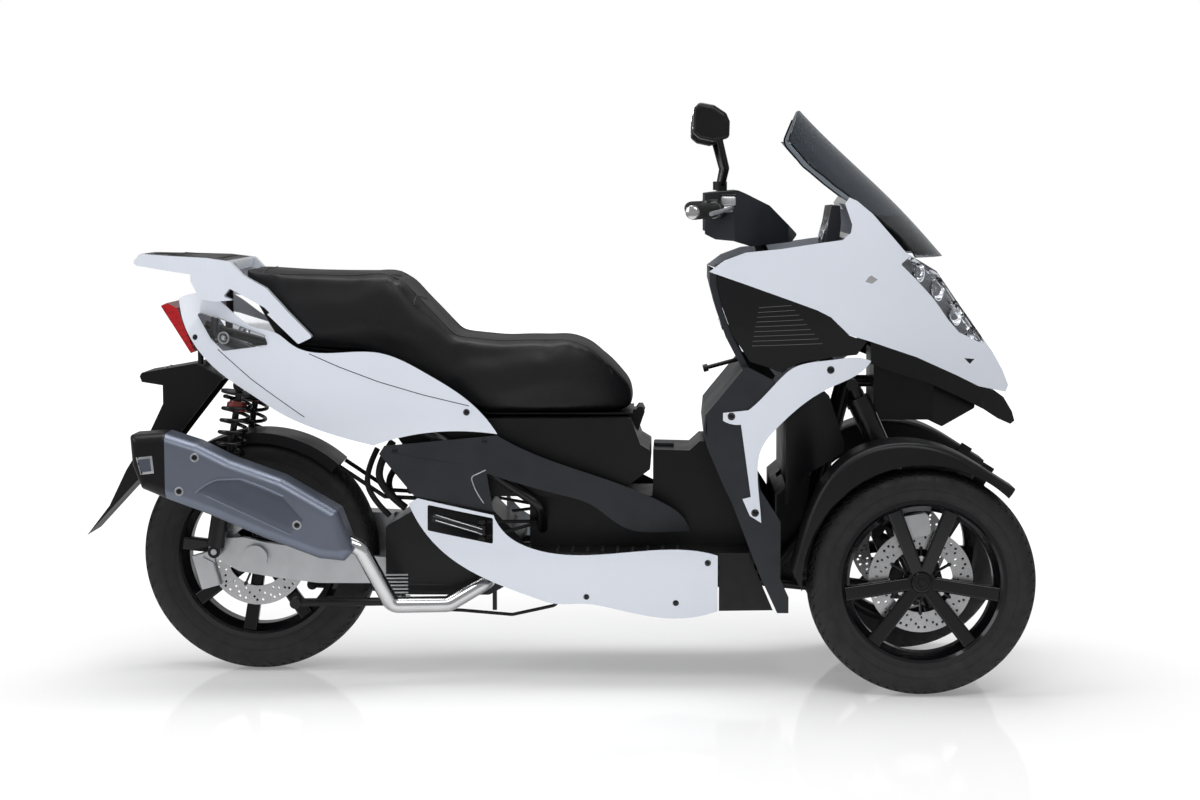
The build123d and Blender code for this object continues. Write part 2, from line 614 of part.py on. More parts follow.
def tail_mounts(side):
    """Upper shock pin, rack post and plate holder stay at the end of a seat rail."""
    head_x, head_z = SHOCK_HEAD
    mounts = rod((head_x, side * 104, head_z), (head_x, side * 104, 796), 9)
    mounts += rod((head_x, side * 96, head_z), (head_x, side * (SHOCK_Y + 16), head_z), 7)
    mounts += rod((REAR_AXLE_X - 87, side * 88, 812), (REAR_AXLE_X - 87, side * 88, RACK_UNDER_Z), 9)
    mounts += rod((REAR_AXLE_X - 130, side * 66, 824), (REAR_AXLE_X - 130, side * 66, HOLDER_TOP_Z), 7)
    mounts += rod((REAR_AXLE_X - 130, side * 66, 824), (LAMP_FRONT_X, side * 66, 824), 6)
    return mounts


def peg_bracket(side):
    """Pin and two ears for a footpeg, stayed from the seat rail's foot."""
    end = Vector(bx(PEG_FRONT[0]), side * PEG_Y, PEG_FRONT[1])
    bracket = rod(end - Vector(0, 0, 24), end + Vector(0, 0, 24), PEG_PIN_R)
    for lift in (-20, 20):
        spot = end + Vector(0, 0, lift)
        bracket += rod(spot - Vector(0, 0, 4), spot + Vector(0, 0, 4), 11)
        bracket += rod(spot, (bx(-20), side * 128, 377), 4)
    return bracket


def panel_studs(side):
    """Bosses on a seat rail that hold the side panels."""
    studs = stud(-300, 600, 168, TAIL_PLAN, TAIL_CROWN) + stud(-560, 728, 146, TAIL_PLAN, TAIL_CROWN)
    studs += stud(-200, 541, 172, MID_PLAN, MID_CROWN)
    studs += rod((bx(-120), SEAT_RAIL_Y, 487), (bx(-120), TUB_HALF + SEAT_GAP, 487), 8)
    return studs if side > 0 else mirror(studs, about=Plane.XZ)

# Power unit: engine block, belt case with the axle's left end, right arm, exhaust


def at_rear(x, z):
    """Point behind or ahead of the rear axle in a side outline, before stretching."""
    return (REAR_AXLE_X + x, 0, z)


def under_hose(gap):
    """Hose along the underside, from behind the engine to the frame rail."""
    return pipe([at_hose(346 - 20, 158), at_hose(492, 152), at_hose(612, 142), (bx(8), HOSE_Y, 165),
                 (bx(30), -RAIL_Y, LOWER_RAIL_Z - RAIL_R - SEAT_GAP)], HOSE_R + gap, 18)


def at_hose(x, z):
    return (REAR_AXLE_X + x, HOSE_Y, z)


def rear_face(points, radius):
    return make_face(FilletPolyline(*[at_rear(x, z) for x, z in points], radius=radius, close=True))


def engine_block():
    block = across_local(rear_face([(ENGINE_REAR, 196), (560, 196), (ENGINE_LENGTH, 240), (ENGINE_LENGTH, 330),
                                    (560, 410), (400, 410), (ENGINE_REAR, 360)], 14), -ENGINE_HALF, ENGINE_HALF)
    for x in (350, 570):
        clip = Pos(REAR_AXLE_X + x, HOSE_Y, 181) * Box(10, 14, 54)
        block += clip
    block -= under_hose(SEAT_GAP)
    for side in SIDES.values():
        lug = rod((STAND_X, side * 46, STAND_Z), (STAND_X, side * 58, STAND_Z), STAND_R + 9)
        lug += Pos(STAND_X, side * 52, STAND_Z + 15) * Box(30, 12, 30)
        block += lug
    return block - rod((STAND_X, -70, STAND_Z), (STAND_X, 70, STAND_Z), STAND_R + BEARING_GAP)


def transmission_case():
    case = across_local(rear_face([(-66, 284), (-46, 345), (0, 362), (200, 372), (440, 360), (460, 250),
                                   (420, 210), (200, 206), (0, 210), (-60, 226)], 30), CASE_IN, CASE_OUT)
    meet = ENGINE_REAR - SEAT_GAP
    inner = across_local(rear_face([(meet, 190), (470, 190), (470, 380), (meet, 380)], 2),
                         CASE_IN - 1, ENGINE_HALF + SEAT_GAP)
    case -= inner
    foot_x, foot_z = SHOCK_FOOT
    case += across_local(rear_face([(-114, 292), (-104, 322), (-60, 330), (-50, 250)], 8), CASE_IN, 103)
    case += rod((foot_x, 100, foot_z), (foot_x, SHOCK_Y + 16, foot_z), 7)
    return case


def rear_arm():
    arm = across_local(rear_face([(-116, 292), (-104, 326), (-30, 332), (30, 318), (190, 296), (330, 282),
                                  (330, 222), (150, 222), (40, 236), (-40, 250)], 12), -ARM_OUT, -ARM_IN)
    arm += rod((REAR_AXLE_X, -ARM_OUT - 16, REAR_TYRE_R), (REAR_AXLE_X, -ARM_IN, REAR_TYRE_R), 30)
    arm += rod((REAR_AXLE_X, -ARM_IN - 5, REAR_TYRE_R), (REAR_AXLE_X, CASE_IN - 0.2, REAR_TYRE_R), REAR_AXLE_R)
    foot_x, foot_z = SHOCK_FOOT
    arm += rod((foot_x, -ARM_OUT + 4, foot_z), (foot_x, -SHOCK_Y - 16, foot_z), 7)
    arm += rod((REAR_AXLE_X + 188, -ARM_IN - 10, 285), (REAR_AXLE_X + 188, MUFFLER_Y + MUFFLER_HALF + 12, 400), 8)
    arm += rod((REAR_AXLE_X + 188, MUFFLER_Y + MUFFLER_HALF + 20, 400),
               (REAR_AXLE_X + 188, MUFFLER_Y + MUFFLER_HALF + SEAT_GAP, 400), 13)
    return arm - Pos(REAR_AXLE_X + ENGINE_REAR - SEAT_GAP + 50, -ENGINE_HALF, 250) * Box(100, 300, 200)


def rear_caliper():
    slot_y = REAR_DISC_Y + DISC_WALL / 2
    block = Pos(CALIPER_R, slot_y - 2, 0) * Box(CALIPER_DEPTH, 30, CALIPER_LENGTH)
    block = fillet(block.edges().filter_by(Axis.Z), 8)
    block -= ring_about_y(DISC_R + 4, 0, slot_y - CALIPER_SLOT / 2, slot_y + CALIPER_SLOT / 2)
    placed = REAR_WHEEL * (Rot(0, -196, 0) * block)
    return placed - across_local(rear_face([(-130, 280), (-112, 340), (40, 340), (40, 230), (-40, 236)], 2),
                                 -ARM_OUT - 1, -ARM_IN + SEAT_GAP)


def shock(side):
    """Damper with its two spring plates, from the lower pin to the frame."""
    foot = Vector(SHOCK_FOOT[0], side * SHOCK_Y, SHOCK_FOOT[1])
    head = Vector(SHOCK_HEAD[0], side * SHOCK_Y, SHOCK_HEAD[1])
    up = (head - foot).normalized()
    damper = rod(foot + up * 12, foot + up * 190, 21) + rod(foot + up * 190, head, 8)
    damper += rod(foot + up * 118, foot + up * 124, 46)
    damper += rod(head - up * 22, head - up * 16, 42)
    for eye in (foot, head):
        damper += rod(eye - Vector(0, 12, 0), eye + Vector(0, 12, 0), 15)
    for eye in (foot, head):
        damper -= rod(eye - Vector(0, 40, 0), eye + Vector(0, 40, 0), 7 + SEAT_GAP)
    return damper


def spring(side):
    """Coil spring between the plates."""
    foot = Vector(SHOCK_FOOT[0], side * SHOCK_Y, SHOCK_FOOT[1])
    head = Vector(SHOCK_HEAD[0], side * SHOCK_Y, SHOCK_HEAD[1])
    up = (head - foot).normalized()
    low, high = 124 + SEAT_GAP, (head - foot).length - 22 - SEAT_GAP
    outer = rod(foot + up * low, foot + up * high, 46)
    return outer - rod(foot + up * (low - 1), foot + up * (high + 1), 37)


def muffler():
    """Flat-sided silencer, split into its body and end cap."""
    side_face = rear_face([(-253, 599), (-173, 604), (-98, 580), (-22, 542), (98, 499), (158, 464), (227, 424),
                           (262, 330), (240, 306), (182, 312), (57, 359), (-73, 414), (-167, 449),
                           (-227, 474), (-248, 529)], 8)
    body = across_local(side_face, MUFFLER_Y - MUFFLER_HALF, MUFFLER_Y + MUFFLER_HALF)
    rims = body.faces().filter_by(Axis.Y).edges()
    return fillet(rims, 26)


def exhaust_pipe():
    return pipe([(REAR_AXLE_X + 560, -ENGINE_HALF - SEAT_GAP, 240), (REAR_AXLE_X + 560, -165, 240),
                 (REAR_AXLE_X + 470, -196, 190), (REAR_AXLE_X + 340, -210, 190),
                 (REAR_AXLE_X + 262 + 10, MUFFLER_Y, 330), (REAR_AXLE_X + 225, MUFFLER_Y, 352)], 19, 26)


save("engine_block", engine_block())
save("transmission_case", transmission_case())
save("rear_arm", rear_arm())
save("rear_caliper", rear_caliper())
save("rear_shocks", Compound(children=[s for side in SIDES.values() for s in shock(side).solids()]))
save("rear_springs", Compound(children=[s for side in SIDES.values() for s in spring(side).solids()]))
whole_muffler = muffler()
tail_half = Pos(MUFFLER_CAP_X - 200, MUFFLER_Y, 500) * Box(400, 300, 400)
save("exhaust_pipe", exhaust_pipe() - whole_muffler)
save("muffler", whole_muffler - Pos(PANEL_GAP, 0, 0) * tail_half)
save("muffler_cap", whole_muffler & tail_half)

# Centre stand, folded back under the power unit

def centre_stand():
    stand = rod((STAND_X, -96, STAND_Z), (STAND_X, 96, STAND_Z), STAND_R)
    for side in SIDES.values():
        foot = Vector(STAND_X - 222, side * 132, STAND_Z + 4)
        stand += rod((STAND_X, side * 92, STAND_Z), foot, 10)
        stand += rod(foot - Vector(0, side * 14, 0), foot + Vector(0, side * 16, 0), 13)
    return stand


save("centre_stand", centre_stand())

# Mudguards and plate holder

def rear_hugger():
    inner_r, wall, half = REAR_TYRE_R + 10, 3.0, REAR_TYRE_WIDTH / 2 + 8
    band = ring_about_y(inner_r + wall, inner_r, -half, half)
    band += ring_about_y(inner_r + wall, inner_r - 22, half - wall, half)
    band += ring_about_y(inner_r + wall, inner_r - 22, -half, -half + wall)
    start, end = Vector(cos(radians(48)), 0, sin(radians(48))), Vector(cos(radians(138)), 0, sin(radians(138)))
    wedge = make_face(Polyline((0, 0, 0), start * 500, Vector(0, 0, 720), end * 500, close=True))
    hugger = REAR_WHEEL * (band & across_local(wedge, -half - 1, half + 1))
    for side in SIDES.values():
        y = side * 60
        hugger += rod((REAR_AXLE_X + 196, y, 500), (REAR_AXLE_X + 308, y, 425), 5)
        hugger += rod((REAR_AXLE_X + 306, y, 426), (REAR_AXLE_X + 430, y, 420), 5)
        hugger += rod((REAR_AXLE_X + 424, y, 421), (REAR_AXLE_X + 424, y, 410 + SEAT_GAP), 7)
    return hugger


def plate_holder():
    """Number plate shelf, its arm and the lower flap: a channel open towards the wheel."""
    points = [(-277, 716), (-272, 724), (-142, 746.5), (-76, 712), (-112, 668), (-166, 600), (-200, 556),
              (-300, 452), (-412, 332), (-356, 404), (-314, 490), (-252, 588), (-222, 650), (-222, 694), (-272, 702)]
    face = make_face(Polyline(*[at_rear(x, z) for x, z in points], close=True))
    block = across_local(face, -70, 70)
    hollow = across_local(offset(face, amount=-4), -66, 66)
    hollow += Pos(26, 0, -16) * hollow
    return block - hollow


save("rear_hugger", rear_hugger())
save("plate_holder", plate_holder())

# Tail: side panels, lamp, indicators and grab rail


def rear_panels():
    panel = crowned_skin(TAIL_PLAN, TAIL_CROWN) & across(flowing(REAR_PANEL), 0, 300)
    panel -= across(offset(corners(INDICATOR, 4), amount=PANEL_GAP), 0, 300)
    return both_sides(panel)


def rear_indicators():
    lens = plan_skin([(x, y - 1.5) for x, y in TAIL_PLAN], 18, 500, 1000) & across(corners(INDICATOR, 4), 0, 300)
    return both_sides(lens)


def tail_lamp():
    face = corners([(-927, 885), (-912, 892), (-889, 880), (-849, 776), (-857, 772)], 2)
    return across(face, -88, 88)


def grab_rail():
    side_face = corners([(-998, 988), (-978, 1008), (-803, 1001), (-744, 993), (-714, 961), (-660, 931),
                         (-611, 877), (-552, 816), (-586, 800), (-660, 872), (-716, 905), (-778, 899),
                         (-818, 904), (-842, 946), (-990, 980)], 5)
    opening = corners([(-745, 930), (-665, 886), (-650, 872), (-668, 868), (-716, 893), (-760, 912)], 3)
    rail = across(side_face, 152, 178) - across(opening, 150, 180)
    rack = across(corners([(-998, 988), (-978, 1008), (-803, 1001), (-744, 993), (-748, 968), (-842, 962),
                           (-990, 980)], 4), -155, 155)
    whole = rail + mirror(rail, about=Plane.XZ) + rack
    plan = [(-1010, -52), (-1010, 52), (-900, 130), (-800, 168), (-740, 182), (-540, 190), (-540, -190),
            (-740, -182), (-800, -168), (-900, -130)]
    return whole & upright(make_face(Polyline(*[(bx(x), y, 0) for x, y in plan], close=True)), 700, 1100)


save("rear_panels", rear_panels())
save("rear_indicators", rear_indicators())
save("tail_lamp", tail_lamp())
save("grab_rail", grab_rail())

# Seat and the tub below it


def seat_cushion():
    body = across(corners(SEAT_TOP + SEAT_REAR + SEAT_UNDER), -165, 165)
    plan = [(214, 0), (205, 70), (100, 140), (-50, 163), (-220, 160), (-450, 152), (-620, 138), (-742, 92)]
    left = Spline(*[(bx(x), y, 0) for x, y in plan])
    right = Spline(*[(bx(x), -y, 0) for x, y in plan])
    shape = upright(make_face([left, right, Line(left @ 1, right @ 1)]), 600, 1000)
    return body & shape


def seat_pan():
    """Plate under the cushion, with the hinge tube at its nose."""
    top = [(x, z + PAN_WALL) for x, z in reversed(PAN_UNDER)]
    pan = across(corners(PAN_UNDER + top), -TUB_REAR_HALF, TUB_REAR_HALF)
    hinge = Vector(bx(SEAT_HINGE[0]), 0, SEAT_HINGE[1])
    pan += rod(hinge - AXLE_Y * 40, hinge + AXLE_Y * 40, SEAT_PIN_R + 4)
    pan += Pos(bx(SEAT_HINGE[0] - 14), 0, 632) * Box(24, 80, PAN_WALL)
    return pan - rod(hinge - AXLE_Y * 50, hinge + AXLE_Y * 50, SEAT_PIN_R + BEARING_GAP)


def seat_tub():
    face = corners([(236, 548), (213, 562), (190, 624), (-148, 624), (-197, 643), (-310, 719), (-423, 766),
                    (-617, 783), (-640, 700), (-430, 668), (-352, 560), (-340, 440), (150, 440), (236, 505)], 6)
    outer = across(face, -TUB_HALF, TUB_HALF)
    outer -= across(corners([(-285, 400), (-285, 800), (-700, 800), (-700, 400)]), TUB_REAR_HALF, 200)
    outer -= across(corners([(-285, 400), (-285, 800), (-700, 800), (-700, 400)]), -200, -TUB_REAR_HALF)
    room = corners([(229, 544), (208, 557), (184, 622), (184, 660), (-140, 660), (-300, 760), (-423, 800),
                    (-611, 810), (-611, 781), (-633, 705), (-427, 674), (-346, 561), (-335, 445), (148, 445),
                    (230, 508)])
    tub = outer - across(room, TUB_WALL - TUB_REAR_HALF, TUB_REAR_HALF - TUB_WALL)
    hinge = Vector(bx(SEAT_HINGE[0]), 0, SEAT_HINGE[1])
    for side in SIDES.values():
        ear = across(corners([(188, 618), (206, 584), (222, 630), (216, 642), (206, 642)]), side * 46, side * 54)
        tub += ear
    return tub + rod(hinge - AXLE_Y * 50, hinge + AXLE_Y * 50, SEAT_PIN_R)


save("seat_cushion", seat_cushion())
save("seat_pan", seat_pan())
save("seat_tub", seat_tub())

# Footwell, side panels, fuel flap


def footwell():
    face = corners([(-50, FLOOR_Z), (-50, 436), (242, 436), (242, 546), (328, 544), (352, 566), (365, 566),
                    (405, 473), (422, 439), (467, FLOOR_Z)], 4)
    tunnel = across(face, -TUNNEL_HALF, TUNNEL_HALF)
    hollow = across(offset(face, amount=-SKIN), SKIN - TUNNEL_HALF, TUNNEL_HALF - SKIN)
    tunnel -= hollow + Pos(0, 0, -12) * hollow
    floor = across(corners([(-50, FLOOR_Z - 6), (-50, FLOOR_Z), (467, FLOOR_Z), (468, FLOOR_Z - 6)]),
                   TUNNEL_HALF - SKIN, FLOOR_HALF)
    tunnel += floor + mirror(floor, about=Plane.XZ)
    tip = stud(250, 385, TUNNEL_HALF - 2, MID_PLAN, MID_CROWN)
    tunnel += tip + mirror(tip, about=Plane.XZ)
    for side in SIDES.values():
        tunnel -= rod((bx(-20), side * 60, 317.6), (bx(-20), side * 150, 397), SEAT_RAIL_R + PANEL_GAP)
    skirt = across(corners([(396, FLOOR_Z), (464, FLOOR_Z), (486, 266), (521, 184), (396, 182)]),
                   FLOOR_HALF - SKIN, FLOOR_HALF)
    tunnel += skirt + mirror(skirt, about=Plane.XZ)
    tunnel -= Pos(bx(FLAP_HINGE_X - FLAP_LENGTH / 2), 0, 545) * Box(FLAP_LENGTH - 6, FLAP_WIDTH - 10, 20)
    hinge = Vector(bx(FLAP_HINGE_X), 0, FLAP_Z)
    tunnel += rod(hinge - AXLE_Y * (FLAP_WIDTH / 2 + 8), hinge + AXLE_Y * (FLAP_WIDTH / 2 + 8), FLAP_PIN_R)
    for side in SIDES.values():
        tunnel += Pos(hinge.X, side * (FLAP_WIDTH / 2 + 6), FLAP_Z - 2) * Box(6, 5, 8)
    return tunnel


def fuel_flap():
    """Flap over the filler, with its hinge barrel at the front edge."""
    hinge = Vector(bx(FLAP_HINGE_X), 0, FLAP_Z)
    plate = Pos(hinge.X - FLAP_LENGTH / 2, 0, FLAP_Z) * Box(FLAP_LENGTH, FLAP_WIDTH, 2 * FLAP_BARREL_R)
    plate = fillet(plate.edges().filter_by(Axis.Z).group_by(Axis.X)[0], 8)
    plate += rod(hinge - AXLE_Y * (FLAP_WIDTH / 2), hinge + AXLE_Y * (FLAP_WIDTH / 2), FLAP_BARREL_R)
    return plate - rod(hinge - AXLE_Y * FLAP_WIDTH, hinge + AXLE_Y * FLAP_WIDTH, FLAP_PIN_R + BEARING_GAP)


def mid_panels():
    return both_sides(crowned_skin(MID_PLAN, MID_CROWN) & across(flowing(MID_PANEL), 100, 300))


def lower_panels():
    panel = crowned_skin(LOWER_PLAN, LOWER_CROWN) & across(flowing(LOWER_PANEL), 100, 300)
    return both_sides(panel - peg_outline(30, 12))


def peg_outline(half_height, margin):
    """Side outline of a footpeg's pocket as a cutter."""
    (x0, z0), (x1, z1) = PEG_REAR, PEG_FRONT
    return across(corners([(x0 - margin, z0 + half_height), (x1 + margin + 14, z1 + half_height),
                           (x1 + margin + 14, z1 - half_height), (x0 - margin, z0 - half_height)], 4), 150, 300)


def footpeg():
    start = Vector(bx(PEG_REAR[0]), PEG_Y, PEG_REAR[1])
    end = Vector(bx(PEG_FRONT[0]), PEG_Y, PEG_FRONT[1])
    peg = rod(start, end, 10)
    peg += rod(end - Vector(0, 0, 11), end + Vector(0, 0, 11), 11)
    return peg - rod(end - Vector(0, 0, 30), end + Vector(0, 0, 30), PEG_PIN_R + BEARING_GAP)


save("footwell", footwell())
save("fuel_flap", fuel_flap())
save("mid_panels", mid_panels())
save("lower_panels", lower_panels())
save("footpeg_left", footpeg())
save("footpeg_right", mirror(footpeg(), about=Plane.XZ))

# Front body


def cowl_plan(inset, z, width):
    """Whole plan of the cowl at one height, narrowed to a share of its width."""
    left = Spline(*[(bx(x), (y - inset) * width, z) for x, y in COWL_PLAN])
    right = Spline(*[(bx(x), (inset - y) * width, z) for x, y in COWL_PLAN])
    return make_face([left, right, Line(left @ 0, right @ 0), Line(left @ 1, right @ 1)])


def cowl_volume(inset):
    return loft([cowl_plan(inset, z, width) for z, width in COWL_WIDTHS])


def cowl_body(grow):
    """The whole volume inside the upper cowl's outer surface."""
    face = offset(corners(COWL), amount=grow) if grow else corners(COWL)
    return across(face, -300, 300) & cowl_volume(-grow)


def cowl_shell(wall):
    outer = cowl_body(0)
    face = offset(corners(COWL), amount=-wall)
    inner = cowl_volume(wall)
    core = across(face, -300, 300)
    for drop in (-14, -40, -90):
        core += Pos(0, 0, drop) * core
    rear_open = across(corners([(300, 700), (300, 1200), (682, 1200), (682, 700)]), -300, 300)
    return outer - (inner & (core + rear_open))


def front_cowl():
    lamps = across(offset(corners(LAMP, 3), amount=PANEL_GAP), 42, 300)
    return cowl_shell(SKIN) - lamps - mirror(lamps, about=Plane.XZ)


def headlamps():
    zone = across(corners(LAMP, 3), 42 + PANEL_GAP, 300)
    return both_sides((cowl_shell(SKIN * 3) & zone).solids().sort_by(SortBy.VOLUME)[-1])


def side_cowls():
    region = corners([(390, 960), (456, 940.3), (554, 905.3), (619, 881.2), (651, 865.2), (694, 823.2),
                      (735, 808), (712, 778), (655, 774), (556, 751), (540, 737), (505, 752), (466, 764),
                      (424.8, 826), (403.8, 884), (389.8, 940)])
    return both_sides(plan_skin(COWL_PLAN[:5], SKIN, 600, 1100) & across(region, 0, 300))


def shield_face():
    front_edge = [(556, 183), (556, 220), (537, 262), (537, 396), (490, 470), (478, 560), (500, 630), (545, 690), (520, 722), (462, 752),
                  (424, 826), (403, 884), (389, 940), (389, 962)]
    return corners(SHIELD_REAR + front_edge)


def leg_shield():
    face = shield_face()
    plan = make_face(FilletPolyline((bx(345), -SHIELD_HALF, 0), (bx(345), SHIELD_HALF, 0), (bx(600), SHIELD_HALF, 0),
                                    (bx(600), -SHIELD_HALF, 0), radius=40, close=True))
    upper = upright(make_face(FilletPolyline((bx(345), -232, 0), (bx(345), 232, 0), (bx(600), 240, 0),
                                             (bx(600), -240, 0), radius=30, close=True)), 752, 1000)
    outer = across(face, -SHIELD_HALF, SHIELD_HALF) & (upright(plan, 100, 752) + upper)
    rear = [(x + SKIN * 1.2, z) for x, z in SHIELD_REAR]
    inner_face = corners(rear + [(700, 188), (700, 975)])
    inner = across(inner_face, SKIN - SHIELD_HALF, SHIELD_HALF - SKIN)
    inner &= Pos(0, 0, -1) * upright(make_face(Rectangle(3000, 2 * (SHIELD_HALF - SKIN))), 0, 752) + upright(
        make_face(Rectangle(3000, 2 * 228)), 740, 1200)
    shield = outer - inner
    for side in SIDES.values():
        shield -= lower_rail(side, PANEL_GAP)
        shield -= tower_stay(side, PANEL_GAP)
    return shield


def shield_trims():
    face = flowing([(744, 765), (712, 773), (655, 769), (556, 746), (540, 732), (490, 679), (462, 654),
                    (404, 648), (404, 630), (429, 621), (445, 621), (457, 535), (468, 454), (449, 449), (466, 410),
                    (492, 394), (484, 527), (490, 560), (531, 617), (581, 663), (655, 708), (737, 755)])
    plan = [(380, SHIELD_HALF + 4.5), (460, SHIELD_HALF + 5), (556, SHIELD_HALF + 4.5), (655, 256), (750, 232)]
    return both_sides(plan_skin(plan, SKIN, 300, 800) & across(face, 0, 300))


def lower_fairing():
    face = corners([(548, 425), (548, 640), (585, 660), (640, 692), (652, 680), (690, 567), (690, 545), (640, 520),
                    (594, 500), (571, 470)], 3)
    skin = plan_skin(FAIRING_PLAN, SKIN, 300, 800) & across(face, 0, 300)
    wall_half = SHIELD_HALF - SKIN - PANEL_GAP
    wall = across(corners([(WELL_X, 230), (WELL_X, 460), (548, 480), (548, 640), (552, 640), (552, 478),
                           (WELL_X + SKIN, 456), (WELL_X + SKIN, 230)]), -wall_half, wall_half)
    fairing = wall + skin + mirror(skin, about=Plane.XZ)
    hump = corners([(WELL_X + 2, 232), (575, 215), (600, 330), (618, 470), (560, 500), (WELL_X + 2, 450)], 5)
    fairing += across(hump, -HUMP_HALF, HUMP_HALF)
    fairing -= across(offset(hump, amount=-SKIN), SKIN - HUMP_HALF, HUMP_HALF - SKIN)
    fairing -= Pos(-2 * SKIN, 0, 0) * across(offset(hump, amount=-SKIN), SKIN - HUMP_HALF, HUMP_HALF - SKIN)
    for side in SIDES.values():
        fairing -= lower_rail(side, 6)
        fairing -= tower_stay(side, 6)
    return fairing


def nose_housing():
    face = corners([(NOSE_X, 782), (850, 752), (953, 705), (1004, 682), (1004, 640), (922, 600), (888, 617),
                    (NOSE_X, 617)], 6)
    plan = make_face(Polyline(*[(bx(x), y, 0) for x, y in [(NOSE_X, 110), (900, 110), (1004, 56), (1004, -56),
                                                          (900, -110), (NOSE_X, -110)]], close=True))
    block = across(face, -160, 160) & upright(plan, 500, 900)
    hollow = across(offset(face, amount=-SKIN), -160, 160)
    hollow += Pos(0, 0, 8) * hollow
    inner_plan = Pos(-1, 0, 0) * offset(plan, amount=-SKIN)
    return block - (hollow & upright(inner_plan, 400, 1000))


def cowl_lip():
    """Dark band that carries the cowl's outer surface on below its lower edge."""
    band = across(corners(COWL_LIP), 0, 300)
    return both_sides((cowl_volume(0) - cowl_volume(SKIN)) & band)


def beak():
    rear = LIP_FRONT_X + PANEL_GAP
    face = corners([(rear, 688), (1053, 680), (1075, 664), (1098, 628), (1105, 605), (1094, 598), (1060, 614),
                    (rear, 640)])
    plan = make_face(Polyline(*[(bx(x), y, 0) for x, y in [(rear, 74), (1062, 44), (1106, 10), (1106, -10),
                                                          (1062, -44), (rear, -74)]], close=True))
    return across(face, -80, 80) & upright(plan, 500, 800)


save("front_cowl", front_cowl())
save("headlamps", headlamps())
save("side_cowls", side_cowls())
save("leg_shield", leg_shield())
save("shield_trims", shield_trims())
save("lower_fairing", Compound(children=[*lower_fairing().solids(), *nose_housing().solids(),
                                          *cowl_lip().solids()]))
save("beak", beak())

# Screen and dash


def screen_section(z, middle_x, edge_x, half, back):
    """Crescent at one height: the curved sheet's cut."""
    outer = ThreePointArc((bx(edge_x) - back, -half, z), (bx(middle_x) - back, 0, z), (bx(edge_x) - back, half, z))
    near = ThreePointArc((bx(edge_x) - back - SCREEN_WALL, -half, z), (bx(middle_x) - back - SCREEN_WALL, 0, z),
                         (bx(edge_x) - back - SCREEN_WALL, half, z))
    return make_face([outer, near, Line(outer @ 0, near @ 0), Line(outer @ 1, near @ 1)])


def windscreen():
    sheet = loft([screen_section(*row, 0) for row in SCREEN])
    top = across(corners([(400, 1262), (557, 1272), (584, 1345), (584, 1400), (400, 1400)]), -300, 300)
    return sheet - top - cowl_body(SEAT_GAP)


def screen_base():
    liner = loft([screen_section(*row, SCREEN_WALL + SEAT_GAP * 4) for row in SCREEN[:2]])
    return (liner & Pos(bx(800), 0, 1050) * Box(400, 340, 90)) - cowl_body(SEAT_GAP)


def dash():
    deck = across(corners([(393, 962), (393, 972), (600, 1000), (640, 1010), (658, 1118), (678, 1120), (680, 1080),
                           (674, 1000), (600, 986)], 3), -218, 218)
    deck -= across(corners([(605, 1012), (605, 1200), (760, 1200), (760, 1012)]), 125, 300)
    deck -= across(corners([(605, 1012), (605, 1200), (760, 1200), (760, 1012)]), -300, -125)
    column_low = Vector(bx(COLUMN_X), 0, COLUMN_Z) - STEER_UP * 200
    column_high = Vector(bx(COLUMN_X), 0, COLUMN_Z)
    return deck - rod(column_low, column_high, COLUMN_R + MOVING_GAP)


save("windscreen", windscreen())
save("screen_base", screen_base())
save("dash", dash())

# Handlebar


def bar_points():
    return [(bx(COLUMN_X) + x - COLUMN_X, y, z) for x, y, z in BAR_PATH]


def handlebar():
    bar = pipe(bar_points(), BAR_R, 60)
    for end, knee in ((0, 1), (-1, -2)):
        mouth = Vector(*bar_points()[end])
        run = (Vector(*bar_points()[knee]) - mouth).normalized()
        bar -= rod(mouth - run, mouth + run * BAR_BORE_DEPTH, BAR_BORE_R)
    top = Vector(bx(COLUMN_X), 0, COLUMN_Z)
    stem = rod(top - STEER_UP * 325, top + STEER_UP * 6, COLUMN_R)
    stem += rod(top + Vector(-2, -30, 12), top + Vector(-2, 30, 12), 18)
    return bar + stem


def grip(side):
    end = Vector(*bar_points()[-1 if side > 0 else 0])
    knee = Vector(*bar_points()[-2 if side > 0 else 1])
    run = (knee - end).normalized()
    sleeve = rod(end + run * 12, end + run * 128, GRIP_R)
    return sleeve - rod(end, end + run * 140, BAR_R + 0.2)


def brake_lever(side):
    end = Vector(*bar_points()[-1 if side > 0 else 0])
    knee = Vector(*bar_points()[-2 if side > 0 else 1])
    run = (knee - end).normalized()
    clamp = rod(end + run * 134, end + run * 158, 19) - rod(end, end + run * 165, BAR_R + 0.2)
    pivot = end + run * 146 + Vector(38, 0, 4)
    lever = rod(end + run * 146 + Vector(18, 0, 2), pivot, 9)
    lever += pipe([pivot, pivot - run * 60 + Vector(14, 0, 0), end + run * 10 + Vector(40, 0, -4)], 5, 20)
    return clamp + lever


